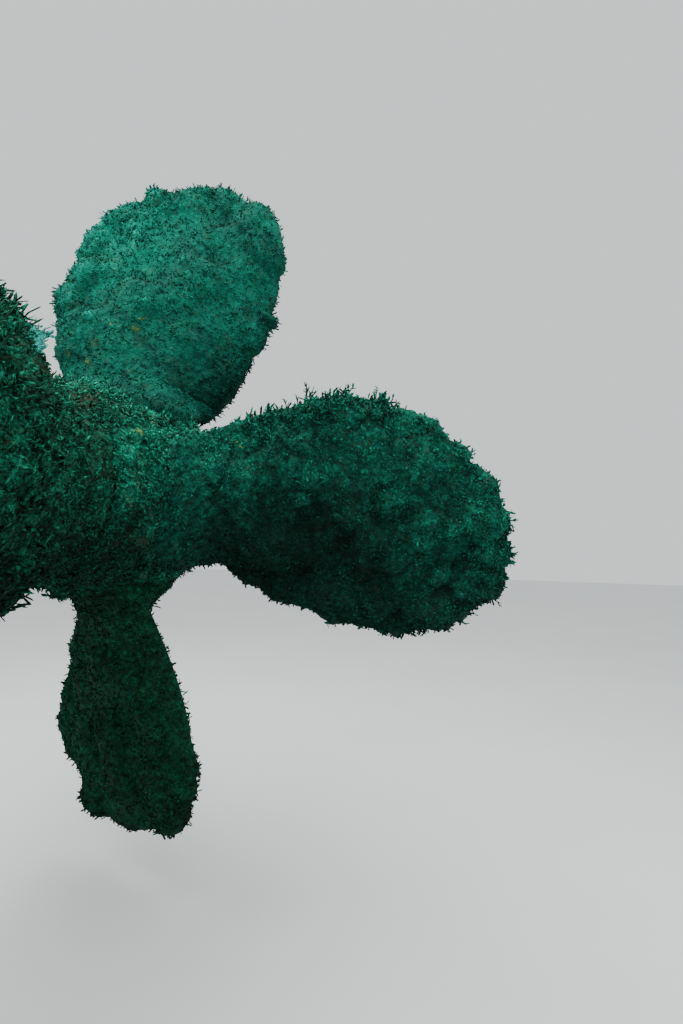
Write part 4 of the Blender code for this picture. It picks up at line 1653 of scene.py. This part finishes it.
def hub_growth() -> Growth:
    """The growth on the hub's barrel, its shoulders and the rims of the seats."""
    return HubGrowth(
        "hub_growth", Body.PROPELLER, HUB_FINISH, seed=301, rows=90, columns=220,
        stands=tuft_stands(3800, 7200, 30, 0.027, 1.2), boulder=0.045, colonies=HUB, unseen=10,
        contrast=0.35, ground=0.9, brightness=1.3,
        outer=(
            (0.362, HUB_BACK - 0.006), (0.425, HUB_BACK - 0.064), (0.452, HUB_BACK - 0.16),
            (0.452, HUB_FRONT + 0.16), (0.425, HUB_FRONT + 0.064), (0.372, HUB_FRONT + 0.006),
        ),
        inner=((0.30, HUB_FRONT + 0.02), (0.30, HUB_BACK - 0.02)),
        least_y=GUARD_END + RUNNING_GAP,
    )


def bossing_growth() -> Growth:
    """The growth on the bossing's plating and its aft face, with long leaves."""
    return TurnedGrowth(
        "bossing_growth", Body.STERN, BOSSING_FINISH, seed=401, rows=72, columns=240,
        stands=(
            Stand(
                Strand.FROND, 1700, 0.045, 0.0065, spread=0.6, bend=1.0, upward=0.94, weedy=0.7, shaggy=1.0,
            ),
            Stand(Strand.CURL, 7000, 0.038, 0.0062, spread=1.0, bend=0.9, weedy=0.1),
            Stand(Strand.BUD, 3000, 0.020, 0.0075, spread=0.8),
            Stand(Strand.TWIG, 16, 0.042, 0.0045, bend=0.5, branches=5, upward=0.8, weedy=0.5, shaggy=1.0),
        ),
        outer=(
            (0.745, 0.012), (0.637, BOSSING_END), (0.630, BOSSING_END + 0.004), (0.43, BOSSING_END + 0.004),
        ),
        inner=((0.60, BOSSING_END - 0.02), (0.70, 0.03)),
        colonies=BOSSING, unseen=12, lean=(0.36, 0.03, 0.30), sway=1.2, least_y=0.0, lumpy=1.0,
        contrast=0.7, ground=0.9, brightness=1.2,
    )


def guard_growth() -> Growth:
    """The growth on the rope guard, held short of the turning hub."""
    start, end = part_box("rope_guard_growth")
    return TurnedGrowth(
        "rope_guard_growth", Body.STERN, BOSSING_FINISH, seed=501, rows=32, columns=160,
        stands=(
            Stand(Strand.BUD, 1500, 0.018, 0.0070),
            Stand(Strand.CURL, 1200, 0.034, 0.0055, spread=0.9, bend=1.0),
        ),
        outer=((0.402, start.y), (0.402, end.y)),
        inner=((0.395, end.y - 0.01), (0.395, start.y + 0.01)),
        crust=0.050, swell=0.006, most_y=GUARD_END, brightness=1.5, ground=0.9,
    )


def cone_growth() -> Growth:
    """The growth on the fairwater cone, a quarter ellipse turned about the shaft.

    Returns:
        The growth.
    """
    start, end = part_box("fairwater_cone")
    angles = np.linspace(0.02, 1, 16) * pi / 2
    outer = [(end.x * sin(angle), start.y + (end.y - start.y) * cos(angle)) for angle in angles]
    inner = [(0.93 * r, start.y + 0.93 * (y - start.y)) for r, y in reversed(outer)]
    return TurnedGrowth(
        "cone_growth", Body.PROPELLER, HUB_FINISH, seed=601, rows=52, columns=110,
        stands=tuft_stands(3200, 400, 20), ring=False, outer=tuple(outer), inner=tuple(inner),
        crust=0.030, boulder=0.025, unseen=4,
    )


def dress_metal() -> None:
    """Gives every solid that stays its finish."""
    for finish, names in NODE_FINISHES.items():
        material = finish.material()
        for name in names:
            materials = frame["nodes"][name].data.materials
            materials.clear()
            materials.append(material)
        LOG.info("%s on %d solids", finish.name, len(names))


def main() -> None:
    """Builds the studio, the metal and the growth."""
    logging.basicConfig(level=logging.INFO, format="%(name)s: %(message)s")
    Studio().build()
    dress_metal()
    growths = [
        # The top blade gets painted light from its lit finish, more brightness and a high even
        blade_growth(
            0, LIT_BLADE_FINISH, 50, colonies=TOP_BLADE, brightness=1.06, contrast=0.08, relief=0.25,
            even=0.9, ground=1.0,
        ),
        blade_growth(1, BLADE_FINISH, 170, 1.3, colonies=RIGHT_BLADE),
        # The bottom blade gets painted shade from its shaded finish and a low brightness
        blade_growth(2, SHADED_BLADE_FINISH, 30, 1.1, colonies=BOTTOM_BLADE, brightness=0.44),
        blade_growth(3, BLADE_FINISH, 50, brightness=0.95, contrast=0.9, ground=0.9),
        hub_growth(), bossing_growth(), guard_growth(), cone_growth(),
    ]
    finishes = dict.fromkeys(growth.finish for growth in growths)
    materials = {finish: finish.material() for finish in finishes}
    for growth in growths:
        growth.build(materials[growth.finish])


if __name__ == "__main__":
    main()
